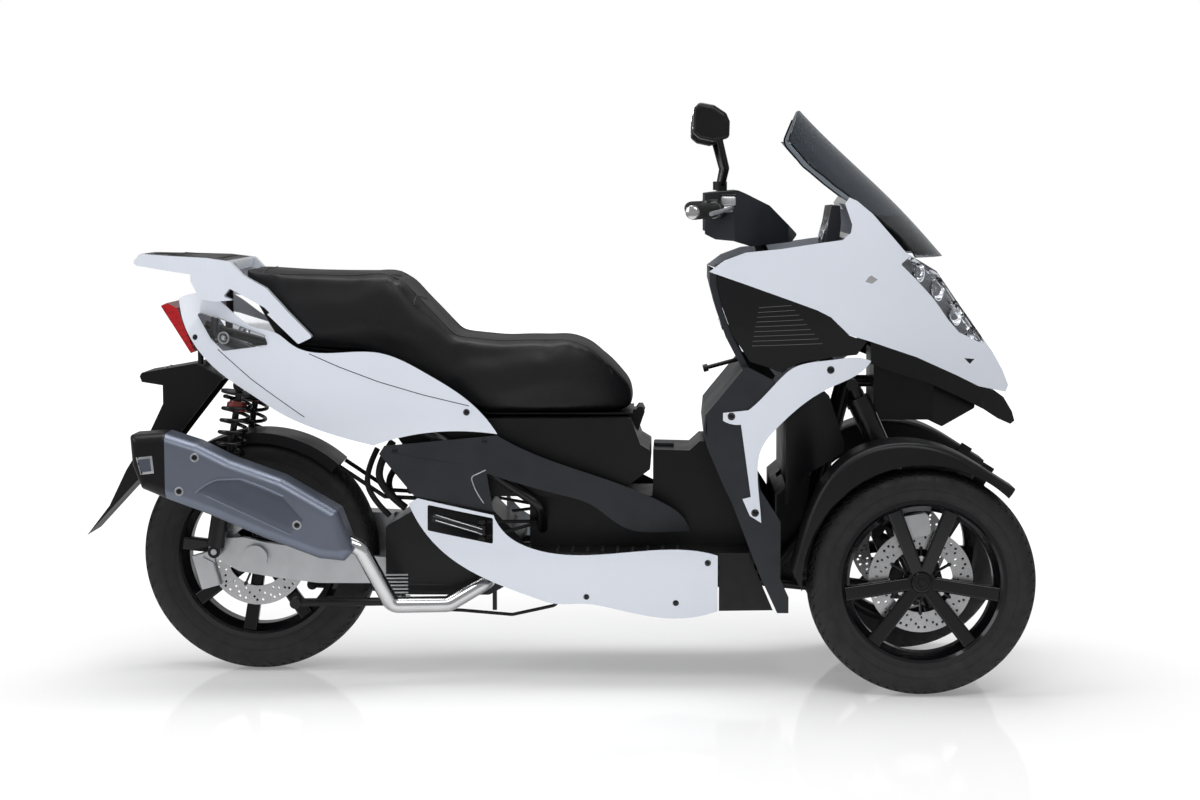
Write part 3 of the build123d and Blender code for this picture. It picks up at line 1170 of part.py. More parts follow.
def handlebar_cover():
    side_face = corners([(330, 1125), (345, 1146), (383, 1151), (438, 1156), (455, 1149), (514, 1120), (585, 1050),
                         (570, 1034), (470, 1026), (428, 1040), (386, 1044), (338, 1068)], 6)
    plan = [(586, 0), (560, 78), (500, 145), (430, 236), (362, 226), (392, 130), (396, 0)]
    points = [(x, y) for x, y in plan] + [(x, -y) for x, y in reversed(plan[1:-1])]
    plan_face = make_face(Polyline(*[(bx(COLUMN_X) + x - COLUMN_X, y, 0) for x, y in points], close=True))
    shell = across(side_face, -300, 300) & upright(plan_face, 900, 1300)
    hollow = across(offset(side_face, amount=-3), -300, 300) & upright(offset(plan_face, amount=-3), 900, 1300)
    shell -= hollow
    shell -= pipe(bar_points(), BAR_R + 0.6, 60)
    top = Vector(bx(COLUMN_X), 0, COLUMN_Z)
    return shell - rod(top - STEER_UP * 200, top, COLUMN_R + 0.6)


def mirror_unit(side):
    face = corners([(335, 1338), (348, 1351), (380, 1345), (407, 1327), (415, 1309), (414, 1273), (380, 1265),
                    (348, 1272), (333, 1285)], 8)
    head = across(face, side * 272, side * 398)
    head = fillet(head.faces().filter_by(Axis.Y).edges(), 10)
    boot = rod((400, side * 206, 1154.6), (400, side * 206, 1176), 13)
    stem = pipe([(402, side * 210, 1168), (410, side * 262, 1206), (392, side * 330, 1276)], 7, 20)
    return head + boot + stem


save("handlebar", handlebar())
save("grips", Compound(children=[s for side in SIDES.values() for s in grip(side).solids()]))
save("brake_levers", Compound(children=[s for side in SIDES.values() for s in brake_lever(side).solids()]))
save("handlebar_cover", handlebar_cover())
save("mirrors", Compound(children=[s for side in SIDES.values() for s in mirror_unit(side).solids()]))

# Small lever on the leg shield, and the hose along the underside

def parking_lever():
    base, tip = Vector(bx(452), -60, 758.6), Vector(bx(372), -60, 737)
    lever = rod(base, tip, 5) + rod(tip - (base - tip).normalized() * 12, tip, 9)
    return lever - across(offset(shield_face(), amount=SEAT_GAP), -100, 0)


save("parking_lever", parking_lever())
save("under_hose", under_hose(0))

# Frame, last because its bosses reach the panels

save("main_frame", main_frame())
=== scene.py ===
import json
from math import atan2, cos, inf, pi, radians, sin, sqrt

import bmesh
import bpy
from mathutils import Matrix, Vector
from mathutils.bvhtree import BVHTree


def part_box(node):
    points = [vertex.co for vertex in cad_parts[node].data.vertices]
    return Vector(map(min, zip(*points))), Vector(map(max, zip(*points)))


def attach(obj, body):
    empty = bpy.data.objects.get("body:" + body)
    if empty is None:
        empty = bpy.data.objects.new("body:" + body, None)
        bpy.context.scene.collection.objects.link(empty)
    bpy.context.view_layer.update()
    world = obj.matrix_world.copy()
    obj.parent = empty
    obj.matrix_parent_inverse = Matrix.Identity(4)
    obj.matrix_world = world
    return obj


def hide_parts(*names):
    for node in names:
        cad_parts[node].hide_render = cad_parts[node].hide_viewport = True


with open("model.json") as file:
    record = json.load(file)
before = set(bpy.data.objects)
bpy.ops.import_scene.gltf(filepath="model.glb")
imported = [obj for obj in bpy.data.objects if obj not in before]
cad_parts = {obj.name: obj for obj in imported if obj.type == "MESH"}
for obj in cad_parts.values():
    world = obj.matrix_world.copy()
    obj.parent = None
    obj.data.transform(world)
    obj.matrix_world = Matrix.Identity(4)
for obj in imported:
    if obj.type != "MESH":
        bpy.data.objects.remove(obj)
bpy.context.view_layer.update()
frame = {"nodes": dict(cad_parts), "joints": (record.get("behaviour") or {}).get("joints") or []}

bl_info = {
    "name": "Three-wheel scooter looks",
    "version": (1, 0, 0),
    "blender": (4, 5, 0),
    "location": "View3D > Sidebar > Scooter",
    "description": "Adds the finishes and the fine pieces to the three-wheel motor scooter",
    "category": "Object",
}

# Places that come from the frame, in metres

NODES = frame["nodes"]
JOINTS = {joint["name"]: joint for joint in frame["joints"]}
SIDES = {"right": -1, "left": 1}


def joint_pivot(name):
    """Pivot of a joint at rest."""
    return Vector(JOINTS[name]["pos_m"])


def node_size(name):
    low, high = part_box(name)
    return high - low


FRONT_AXLE = {side: joint_pivot(f"front_wheel_{side}_roll") for side in SIDES}
REAR_AXLE = joint_pivot("rear_wheel_roll")
DOWN = Vector((0, 0, -1))
UP = Vector((0, 0, 1))
AHEAD = Vector((1, 0, 0))


# Sizes and colours that a user would change

class ScooterFinish(bpy.types.PropertyGroup):
    """Colours of the scooter's finishes"""
    body_white: bpy.props.FloatVectorProperty(
        name="Body white", description="Colour of the painted body panels",
        subtype="COLOR", size=3, min=0, max=1, default=(0.72, 0.76, 0.84))
    plastic_dark: bpy.props.FloatVectorProperty(
        name="Dark plastic", description="Colour of the moulded satin plastic",
        subtype="COLOR", size=3, min=0, max=1, default=(0.020, 0.022, 0.027))
    seat_black: bpy.props.FloatVectorProperty(
        name="Seat black", description="Colour of the seat's vinyl",
        subtype="COLOR", size=3, min=0, max=1, default=(0.004, 0.004, 0.005))
    spring_red: bpy.props.FloatVectorProperty(
        name="Adjuster red", description="Colour of the rear springs' adjusters",
        subtype="COLOR", size=3, min=0, max=1, default=(0.20, 0.02, 0.015))


class ScooterSizes(bpy.types.PropertyGroup):
    """Sizes of the added pieces"""
    tread_steps: bpy.props.IntProperty(
        name="Tread steps", description="Faces round each tyre", default=288, min=96, max=480)
    tread_pitch: bpy.props.IntProperty(
        name="Tread pitch", description="Faces from one groove to the next, an even number",
        default=8, min=4, max=24)
    tread_depth: bpy.props.FloatProperty(
        name="Tread depth", description="Depth of the tread's grooves", unit="LENGTH", default=0.003, min=0)
    spring_radius: bpy.props.FloatProperty(
        name="Spring radius", description="Radius to the middle of the rear springs' wire",
        unit="LENGTH", default=0.0315, min=0)
    spring_wire: bpy.props.FloatProperty(
        name="Spring wire", description="Radius of the rear springs' wire",
        unit="LENGTH", default=0.0047, min=0)
    spring_turns: bpy.props.FloatProperty(
        name="Spring turns", description="Turns in each rear spring", default=8.5, min=2, max=20)
    seat_pressure: bpy.props.FloatProperty(
        name="Seat pressure", description="Pressure that fills the seat's cover out",
        default=3.0, min=0, max=20)
    seat_swell: bpy.props.FloatProperty(
        name="Seat swell", description="Furthest that a spot of the cover may move",
        unit="LENGTH", default=0.007, min=0)
    seat_shrink: bpy.props.FloatProperty(
        name="Seat shrink", description="How far the cover is drawn in before it is filled",
        unit="LENGTH", default=0.004, min=0)


class ScooterStage(bpy.types.PropertyGroup):
    """Camera and backdrop"""
    camera_place: bpy.props.FloatVectorProperty(
        name="Camera place", description="Where the camera stands",
        subtype="TRANSLATION", size=3, unit="LENGTH", default=(0.2943, -5.6731, 1.1789))
    camera_turn: bpy.props.FloatVectorProperty(
        name="Camera turn", description="How the camera is turned",
        subtype="EULER", size=3, default=(radians(84.706), radians(0.133), radians(1.814)))
    lens: bpy.props.FloatProperty(
        name="Lens", description="Focal length on a 36 mm wide sensor, in millimetres",
        default=71.05, min=10, max=300)
    backdrop: bpy.props.FloatVectorProperty(
        name="Backdrop", description="Colour of the floor and the backdrop",
        subtype="COLOR", size=3, min=0, max=1, default=(0.93, 0.93, 0.93))


def finish_settings():
    return bpy.context.scene.scooter_finish


def stage_settings():
    return bpy.context.scene.scooter_stage


# Shared shader groups

def new_group(name, inputs, outputs):
    """Shader node group with float inputs {name: default} and outputs {name: socket type}.

    Gives the group with its input and output node, or with None for both when it is there already.
    """
    if name in bpy.data.node_groups:
        return bpy.data.node_groups[name], None, None
    group = bpy.data.node_groups.new(name, "ShaderNodeTree")
    for label, default in inputs.items():
        socket = group.interface.new_socket(name=label, in_out="INPUT", socket_type="NodeSocketFloat")
        socket.default_value = default
    for label, kind in outputs.items():
        group.interface.new_socket(name=label, in_out="OUTPUT", socket_type=kind)
    source = group.nodes.new("NodeGroupInput")
    sink = group.nodes.new("NodeGroupOutput")
    return group, source, sink


def add_node(tree, kind, links=None, **values):
    """Node with its properties or input defaults set, and inputs linked from other sockets."""
    node = tree.nodes.new(kind)
    for key, value in values.items():
        if hasattr(node, key):
            setattr(node, key, value)
        else:
            node.inputs[key.replace("_", " ")].default_value = value
    for key, socket in (links or {}).items():
        tree.links.new(socket, node.inputs[key])
    return node


def grain_group():
    """Fine moulded grain: a height made of noise and small cells."""
    group, source, sink = new_group("Moulded grain", {"Scale": 900.0, "Cells": 0.5},
                                    {"Height": "NodeSocketFloat"})
    if source:
        place = add_node(group, "ShaderNodeTexCoord")
        scaled = {"Vector": place.outputs["Object"], "Scale": source.outputs["Scale"]}
        noise = add_node(group, "ShaderNodeTexNoise", scaled, Detail=3.0)
        cells = add_node(group, "ShaderNodeTexVoronoi", scaled)
        mixed = add_node(group, "ShaderNodeMix", {
            "Factor": source.outputs["Cells"],
            "A": noise.outputs["Fac"],
            "B": cells.outputs["Distance"],
        })
        group.links.new(mixed.outputs["Result"], sink.inputs["Height"])
    return group


def mottle_group():
    """Slow variation over a surface, between two limits, for roughness."""
    group, source, sink = new_group("Mottle", {"Scale": 9.0, "Low": 0.3, "High": 0.4},
                                    {"Value": "NodeSocketFloat"})
    if source:
        place = add_node(group, "ShaderNodeTexCoord")
        scaled = {"Vector": place.outputs["Object"], "Scale": source.outputs["Scale"]}
        noise = add_node(group, "ShaderNodeTexNoise", scaled, Detail=4.0)
        limits = {
            "Value": noise.outputs["Fac"],
            "To Min": source.outputs["Low"],
            "To Max": source.outputs["High"],
        }
        span = add_node(group, "ShaderNodeMapRange", limits, From_Min=0.3, From_Max=0.7)
        group.links.new(span.outputs["Result"], sink.inputs["Value"])
    return group


def brushed_group():
    """Fine parallel scratches round or along a metal piece."""
    group, source, sink = new_group("Brushed lines", {"Scale": 260.0, "Stretch": 14.0},
                                    {"Height": "NodeSocketFloat"})
    if source:
        place = add_node(group, "ShaderNodeTexCoord")
        split = add_node(group, "ShaderNodeSeparateXYZ", {"Vector": place.outputs["Object"]})
        wide = add_node(group, "ShaderNodeMath", {0: split.outputs["X"], 1: source.outputs["Stretch"]},
                        operation="DIVIDE")
        joined = add_node(group, "ShaderNodeCombineXYZ", {
            "X": wide.outputs["Value"],
            "Y": split.outputs["Y"],
            "Z": split.outputs["Z"],
        })
        scaled = {"Vector": joined.outputs["Vector"], "Scale": source.outputs["Scale"]}
        noise = add_node(group, "ShaderNodeTexNoise", scaled, Detail=4.0)
        group.links.new(noise.outputs["Fac"], sink.inputs["Height"])
    return group


def dust_group():
    """Mask that grows towards the floor, broken up by noise."""
    group, source, sink = new_group("Road dust", {"Top": 0.35, "Amount": 0.3}, {"Mask": "NodeSocketFloat"})
    if source:
        place = add_node(group, "ShaderNodeTexCoord")
        split = add_node(group, "ShaderNodeSeparateXYZ", {"Vector": place.outputs["Object"]})
        height = add_node(group, "ShaderNodeMapRange",
                          {"Value": split.outputs["Z"], "From Min": source.outputs["Top"]}, From_Max=0.0)
        noise = add_node(group, "ShaderNodeTexNoise", {"Vector": place.outputs["Object"]},
                         Scale=34.0, Detail=6.0)
        broken = add_node(group, "ShaderNodeMath", {0: height.outputs["Result"], 1: noise.outputs["Fac"]},
                          operation="MULTIPLY")
        amount = add_node(group, "ShaderNodeMath", {0: broken.outputs["Value"], 1: source.outputs["Amount"]},
                          operation="MULTIPLY")
        group.links.new(amount.outputs["Value"], sink.inputs["Mask"])
    return group


def place_group(tree, group, **values):
    node = tree.nodes.new("ShaderNodeGroup")
    node.node_tree = group
    for key, value in values.items():
        node.inputs[key].default_value = value
    return node


# Materials

def start_material(name):
    """Existing material of that name, or a new one with its tree and Principled shader."""
    if name in bpy.data.materials:
        return bpy.data.materials[name], None, None
    material = bpy.data.materials.new(name)
    material.use_nodes = True
    tree = material.node_tree
    shader = tree.nodes["Principled BSDF"]
    return material, tree, shader


def link_bump(tree, shader, height, strength, distance):
    bump = add_node(tree, "ShaderNodeBump", {"Height": height}, Strength=strength, Distance=distance)
    tree.links.new(bump.outputs["Normal"], shader.inputs["Normal"])


def grain_bump(tree, shader, scale, cells, strength, distance):
    """Bump made of moulded grain; cells is the share of small cells in it."""
    grain = place_group(tree, grain_group(), Scale=scale, Cells=cells)
    link_bump(tree, shader, grain.outputs["Height"], strength, distance)


def vary_roughness(tree, shader, scale, low, high):
    """Roughness that drifts between two limits over the surface."""
    mottle = place_group(tree, mottle_group(), Scale=scale, Low=low, High=high)
    tree.links.new(mottle.outputs["Value"], shader.inputs["Roughness"])


def dusty_colour(tree, shader, ramp, top, amount, dust_colour):
    """Base colour from a ramp, with road dust over it below a height in metres."""
    dust = place_group(tree, dust_group(), Top=top, Amount=amount)
    dusty = add_node(tree, "ShaderNodeMix", {"Factor": dust.outputs["Mask"], 6: ramp.outputs["Color"]},
                     data_type="RGBA")
    dusty.inputs[7].default_value = (*dust_colour, 1)
    tree.links.new(dusty.outputs[2], shader.inputs["Base Color"])


def vary_colour(tree, shader, colour, spread, scale):
    """Base colour that drifts a little over the surface."""
    place = add_node(tree, "ShaderNodeTexCoord")
    noise = add_node(tree, "ShaderNodeTexNoise", {"Vector": place.outputs["Object"]}, Scale=scale, Detail=3.0)
    ramp = add_node(tree, "ShaderNodeValToRGB", {"Fac": noise.outputs["Fac"]})
    ramp.color_ramp.elements[0].position = 0.3
    ramp.color_ramp.elements[1].position = 0.7
    ramp.color_ramp.elements[0].color = (*[channel * (1 - spread) for channel in colour], 1)
    ramp.color_ramp.elements[1].color = (*[min(1, channel * (1 + spread)) for channel in colour], 1)
    tree.links.new(ramp.outputs["Color"], shader.inputs["Base Color"])
    return ramp


def painted(name, colour, low, high, coat):
    """Gloss paint: clear coat, faint orange peel."""
    material, tree, shader = start_material(name)
    if tree:
        vary_colour(tree, shader, colour, 0.015, 3.0)
        vary_roughness(tree, shader, 6.0, low, high)
        shader.inputs["Specular IOR Level"].default_value = 0.3 if max(colour) < 0.1 else 0.5
        shader.inputs["Coat Weight"].default_value = coat
        shader.inputs["Coat Roughness"].default_value = 0.03
        grain_bump(tree, shader, 160.0, 0.0, 0.02, 0.001)
    return material


def moulded(name, colour, low, high, grain, depth):
    """Moulded plastic with a fine grain, duller near the floor."""
    material, tree, shader = start_material(name)
    if tree:
        ramp = vary_colour(tree, shader, colour, 0.12, 14.0)
        dusty_colour(tree, shader, ramp, 0.5, 0.10, (0.22, 0.21, 0.19))
        vary_roughness(tree, shader, 12.0, low, high)
        shader.inputs["Specular IOR Level"].default_value = 0.3
        grain_bump(tree, shader, grain, 0.6, depth, 0.0006)
    return material


def metal(name, colour, low, high, lines):
    """Bare or machined metal with brushed lines."""
    material, tree, shader = start_material(name)
    if tree:
        vary_colour(tree, shader, colour, 0.05, 25.0)
        shader.inputs["Metallic"].default_value = 1.0
        vary_roughness(tree, shader, 40.0, low, high)
        brushed = place_group(tree, brushed_group(), Scale=lines, Stretch=10.0)
        link_bump(tree, shader, brushed.outputs["Height"], 0.10, 0.0004)
    return material


def clear(name, colour, roughness, transmission):
    """Clear or tinted plastic of a lens or screen."""
    material, tree, shader = start_material(name)
    if tree:
        shader.inputs["Base Color"].default_value = (*colour, 1)
        shader.inputs["Transmission Weight"].default_value = transmission
        shader.inputs["IOR"].default_value = 1.45
        vary_roughness(tree, shader, 30.0, roughness, roughness + 0.02)
    return material


def tyre_rubber():
    material, tree, shader = start_material("Tyre rubber")
    if tree:
        ramp = vary_colour(tree, shader, (0.009, 0.009, 0.010), 0.25, 40.0)
        shader.inputs["Specular IOR Level"].default_value = 0.35
        dusty_colour(tree, shader, ramp, 0.6, 0.16, (0.17, 0.16, 0.15))
        vary_roughness(tree, shader, 30.0, 0.52, 0.72)
        grain_bump(tree, shader, 1300.0, 0.3, 0.25, 0.0005)
    return material


def seat_vinyl():
    material, tree, shader = start_material("Seat vinyl")
    if tree:
        vary_colour(tree, shader, tuple(finish_settings().seat_black), 0.2, 9.0)
        vary_roughness(tree, shader, 7.0, 0.40, 0.54)
        shader.inputs["Specular IOR Level"].default_value = 0.35
        grain_bump(tree, shader, 620.0, 0.85, 0.35, 0.0006)
    return material


def body_white():
    return painted("Body white", tuple(finish_settings().body_white), 0.12, 0.2, 0.9)


def dark_plastic():
    return moulded("Dark plastic", tuple(finish_settings().plastic_dark), 0.36, 0.48, 900.0, 0.22)


def black_plastic():
    return moulded("Black plastic", (0.004, 0.004, 0.005), 0.28, 0.40, 1000.0, 0.18)


def gloss_black():
    return painted("Gloss black", (0.003, 0.003, 0.004), 0.08, 0.14, 0.25)


def frame_paint():
    return painted("Frame paint", (0.005, 0.005, 0.006), 0.26, 0.38, 0.15)


def wheel_paint():
    return painted("Wheel paint", (0.003, 0.003, 0.004), 0.12, 0.20, 0.25)


def satin_alloy():
    return metal("Satin alloy", (0.56, 0.57, 0.59), 0.28, 0.40, 220.0)


def disc_steel():
    return metal("Disc steel", (0.50, 0.50, 0.51), 0.22, 0.34, 420.0)


def bright_steel():
    return metal("Bright steel", (0.68, 0.68, 0.69), 0.12, 0.22, 300.0)


def hose_rubber():
    return moulded("Hose rubber", (0.012, 0.012, 0.012), 0.55, 0.68, 1500.0, 0.2)


def silencer_paint():
    return coated_metal("Silencer paint", (0.16, 0.18, 0.23), 0.30, 0.40)


def silencer_dark():
    return coated_metal("Silencer panel", (0.10, 0.115, 0.15), 0.34, 0.44)


def coated_metal(name, colour, low, high):
    """Metal under a thin satin coat of paint."""
    material, tree, shader = start_material(name)
    if tree:
        vary_colour(tree, shader, colour, 0.06, 8.0)
        shader.inputs["Metallic"].default_value = 0.65
        vary_roughness(tree, shader, 18.0, low, high)
        grain_bump(tree, shader, 700.0, 0.2, 0.05, 0.0005)
    return material


def adjuster_red():
    return painted("Adjuster red", tuple(finish_settings().spring_red), 0.25, 0.35, 0.3)


def lamp_chrome():
    return metal("Lamp chrome", (0.86, 0.86, 0.87), 0.05, 0.10, 300.0)


def mirror_silver():
    return metal("Mirror silver", (0.88, 0.88, 0.89), 0.02, 0.03, 40.0)


def lamp_glass():
    return clear("Bulb glass", (0.95, 0.96, 0.98), 0.02, 1.0)


def lamp_grey():
    return moulded("Lamp backing", (0.18, 0.18, 0.19), 0.28, 0.36, 700.0, 0.1)


def seam_thread():
    return moulded("Seam piping", (0.020, 0.020, 0.022), 0.45, 0.55, 1600.0, 0.25)


def clear_lens():
    return clear("Clear lens", (0.95, 0.97, 1.0), 0.02, 1.0)


def smoked_screen():
    return clear("Smoked screen", (0.16, 0.18, 0.205), 0.015, 1.0)


def red_lens():
    return clear("Red lens", (0.62, 0.015, 0.02), 0.06, 0.55)


NODE_FINISH = {
    "main_frame": frame_paint, "front_suspension": frame_paint, "front_struts": frame_paint,
    "engine_block": frame_paint, "transmission_case": satin_alloy, "rear_arm": satin_alloy,
    "rear_caliper": satin_alloy, "rear_shocks": frame_paint, "rear_springs": frame_paint,
    "exhaust_pipe": bright_steel, "muffler": silencer_paint, "muffler_cap": black_plastic,
    "rear_hugger": black_plastic, "plate_holder": black_plastic, "tail_lamp": red_lens,
    "rear_indicators": clear_lens, "grab_rail": body_white, "rear_panels": body_white,
    "seat_tub": black_plastic, "footwell": black_plastic, "mid_panels": dark_plastic,
    "lower_panels": body_white, "leg_shield": dark_plastic, "front_cowl": body_white,
    "side_cowls": gloss_black, "shield_trims": body_white, "headlamps": clear_lens,
    "beak": black_plastic, "lower_fairing": black_plastic, "windscreen": smoked_screen,
    "screen_base": black_plastic, "dash": dark_plastic, "parking_lever": frame_paint,
    "under_hose": hose_rubber, "handlebar": frame_paint, "handlebar_cover": dark_plastic,
    "grips": hose_rubber, "brake_levers": satin_alloy, "mirrors": black_plastic,
    "rear_tyre": tyre_rubber, "rear_rim": wheel_paint, "rear_disc": disc_steel,
    "seat_cushion": seat_vinyl, "seat_pan": black_plastic, "centre_stand": frame_paint,
    "fuel_flap": dark_plastic,
}
for side in SIDES:
    NODE_FINISH.update({
        f"knuckle_{side}": frame_paint, f"front_caliper_{side}": satin_alloy,
        f"front_fender_{side}": black_plastic, f"front_tyre_{side}": tyre_rubber,
        f"front_rim_{side}": wheel_paint, f"front_disc_{side}": disc_steel,
        f"footpeg_{side}": frame_paint,
    })


def dress(obj, *materials):
    """Give an object its materials in slot order."""
    obj.data.materials.clear()
    for material in materials:
        obj.data.materials.append(material)


class SCOOTER_OT_finishes(bpy.types.Operator):
    """Give every carried-over piece its finish"""
    bl_idname = "scooter.finishes"
    bl_label = "Finishes"

    def execute(self, context):
        for name, finish in NODE_FINISH.items():
            dress(NODES[name], finish())
        return {"FINISHED"}


# Helpers for new pieces

def mm(x, y, z):
    """A spot given in millimetres."""
    return Vector((x, y, z)) / 1000


def put_piece(bm, name, body, slot, *materials, replaces=(), smooth_deg=38.0):
    """Merge doubles, turn the faces outwards and add the mesh to its body as a piece."""
    bmesh.ops.remove_doubles(bm, verts=bm.verts, dist=1e-6)
    bmesh.ops.recalc_face_normals(bm, faces=bm.faces)
    mesh = bpy.data.meshes.new(name)
    bm.to_mesh(mesh)
    bm.free()
    mesh.shade_smooth()
    mesh.set_sharp_from_angle(angle=radians(smooth_deg))
    obj = bpy.data.objects.new(name, mesh)
    bpy.context.scene.collection.objects.link(obj)
    dress(obj, *materials)
    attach(obj, body)
    if replaces:
        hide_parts(*replaces)


def full_turn(bm, places, centre, axis, steps):
    """Join places by edges and spin them right round an axis."""
    verts = [bm.verts.new(place) for place in places]
    edges = [bm.edges.new(pair) for pair in zip(verts, verts[1:])]
    bmesh.ops.spin(bm, geom=verts + edges, cent=centre, axis=axis, angle=2 * pi, steps=steps, use_merge=True)


def revolve(bm, profile, centre, axis, steps=40):
    """Spin (radius, distance along the axis) points in millimetres into a form round an axis."""
    centre = Vector(centre)
    axis = Vector(axis).normalized()
    across = axis.orthogonal().normalized()
    places = [centre + (axis * along + across * radius) / 1000 for radius, along in profile]
    full_turn(bm, places, centre, axis, steps)


def tube(bm, points, radius, segments=10):
    """Round hose or bar along a smooth curve through its control points, in metres."""
    curve = bpy.data.curves.new("run", "CURVE")
    curve.dimensions = "3D"
    curve.bevel_depth = radius
    curve.bevel_resolution = max(1, segments // 4)
    curve.resolution_u = 6
    curve.use_fill_caps = True
    spline = curve.splines.new("NURBS")
    spline.points.add(len(points) - 1)
    for point, place in zip(spline.points, points):
        point.co = (*place, 1)
    spline.order_u = min(3, len(points))
    spline.use_endpoint_u = True
    holder = bpy.data.objects.new("run", curve)
    mesh = bpy.data.meshes.new_from_object(holder)
    bm.from_mesh(mesh)
    bpy.data.objects.remove(holder)
    bpy.data.meshes.remove(mesh)
    bpy.data.curves.remove(curve)


def round_edges(bm, edges, offset):
    bmesh.ops.bevel(bm, geom=edges, offset=offset, segments=2, affect="EDGES", profile=0.5, material=-1)


def bar(bm, start, end, width, height, bevel=0.0):
    """Straight bar of rectangular section between two spots, in metres."""
    start, end = Vector(start), Vector(end)
    run = end - start
    turn = run.to_track_quat("X", "Z").to_matrix().to_4x4()
    place = Matrix.Translation((start + end) / 2) @ turn @ Matrix.Diagonal((run.length, width, height, 1))
    made = bmesh.ops.create_cube(bm, size=1.0, matrix=place)["verts"]
    if bevel:
        round_edges(bm, list({edge for vert in made for edge in vert.link_edges}), bevel)


SKIN_TREES = {}


def skin_tree(node):
    """Search tree of a node's skin, made once."""
    if node not in SKIN_TREES:
        mesh = NODES[node].data
        SKIN_TREES[node] = BVHTree.FromPolygons([vert.co for vert in mesh.vertices],
                                                [face.vertices for face in mesh.polygons])
    return SKIN_TREES[node]


def find_skin(node, place, direction):
    """First spot and outward normal where a ray from a place meets a node's skin, or None twice."""
    hit, normal, _, _ = skin_tree(node).ray_cast(Vector(place), Vector(direction))
    if hit is not None and normal.dot(Vector(direction)) > 0:
        normal = -normal
    return hit, normal


def land(node, place, direction):
    """As find_skin, for a ray that has to meet the node."""
    hit, normal = find_skin(node, place, direction)
    if hit is None:
        raise ValueError(f"no skin of {node} beyond {tuple(place)}")
    return hit, normal


def side_spot(node, x, z, side):
    """Spot on a node's outer side at an X and Z in millimetres, seen from that side."""
    return land(node, (x / 1000, side * 1.0, z / 1000), (0, -side, 0))


def skin_run(node, points, side, lift=0.0, step=18.0):
    """Spots along a line drawn on a node's side, lifted off it by some millimetres."""
    spots = []
    for (x0, z0), (x1, z1) in zip(points, points[1:]):
        count = max(1, int(sqrt((x1 - x0) ** 2 + (z1 - z0) ** 2) / step))
        for number in range(count):
            share = number / count
            spots.append((x0 + (x1 - x0) * share, z0 + (z1 - z0) * share))
    spots.append(points[-1])
    run = []
    for x, z in spots:
        place, normal = side_spot(node, x, z, side)
        run.append(place + normal * lift / 1000)
    return run


def skin_line(bm, node, points, side, radius=1.0, lift=0.0):
    """Thin line laid into a node's side, such as a joint between panels or a raised crease."""
    tube(bm, skin_run(node, points, side, lift), radius / 1000, 8)


def drape(node, outline, start, direction, lift, wall, cuts=3, by_normal=False, reach=inf):
    """Plate on a node's skin, cast there from an outline that is moved by start; sizes in metres.

    It is lifted against the ray, or along the skin's normal. Spots that meet no skin within the reach
    are left out. A negative wall grows towards the other side.
    """
    bm = bmesh.new()
    bm.faces.new([bm.verts.new(place) for place in outline])
    bmesh.ops.triangulate(bm, faces=bm.faces)
    for _ in range(cuts):
        bmesh.ops.subdivide_edges(bm, edges=bm.edges, cuts=1, use_grid_fill=True)
    start, direction = Vector(start), Vector(direction)
    missed = []
    for vert in bm.verts:
        hit, normal = find_skin(node, vert.co + start, direction)
        if hit is None or (hit - vert.co - start).length > reach:
            missed.append(vert)
        else:
            vert.co = hit + (normal if by_normal else -direction) * lift
    bmesh.ops.delete(bm, geom=missed, context="VERTS")
    if not bm.faces:
        raise ValueError(f"no skin of {node} in the outline")
    bmesh.ops.recalc_face_normals(bm, faces=bm.faces)
    if sum(face.normal.dot(direction) for face in bm.faces) > 0:
        bmesh.ops.reverse_faces(bm, faces=bm.faces)
    bmesh.ops.solidify(bm, geom=bm.faces, thickness=wall)
    return bm


def skin_patch(node, outline, side, lift, wall, cuts=2, rim=0.0):
    """Plate that follows a node's side inside an outline of (x, z) points; sizes in millimetres."""
    flat = [(x / 1000, 0, z / 1000) for x, z in outline]
    bm = drape(node, flat, (0, side, 0), (0, -side, 0), lift / 1000, wall / 1000, cuts, by_normal=True)
    if rim:
        sharp = [edge for edge in bm.edges if len(edge.link_faces) == 2 and edge.calc_face_angle() > 1.2]
        round_edges(bm, sharp, rim / 1000)
    return bm


SCREW_HEAD = [(0, 0.5), (0.36, 0.5), (0.42, 1.0), (0.78, 0.92), (0.97, 0.55), (1.0, 0.1), (1.0, -0.4)]


def screw(bm, place, normal, radius, height=0.45):
    """Button head with a round socket; radius in millimetres, height as a share of it."""
    revolve(bm, [(share * radius, along * radius * height) for share, along in SCREW_HEAD], place, normal, 20)


def collar(bm, place, normal, outer, inner, height):
    """Flat ring with rounded edges; sizes in millimetres."""
    revolve(bm, [(inner, -0.5), (inner, height * 0.8), (inner + 0.4, height), (outer - 0.5, height),
                 (outer, height * 0.7), (outer, -0.5), (inner, -0.5)], place, normal, 32)


def hex_bolt(bm, place, normal, radius, height):
    """Hexagon head with a chamfered top on a round flange; sizes in millimetres."""
    head = [(0, height), (radius * 0.8, height), (radius, height * 0.82), (radius, 0), (0, 0)]
    flange = [(0, height * 0.2), (radius * 1.25, height * 0.2), (radius * 1.35, 0), (0, -0.5)]
    revolve(bm, head, place, normal, 6)
    revolve(bm, flange, place, normal, 24)


# Wheels

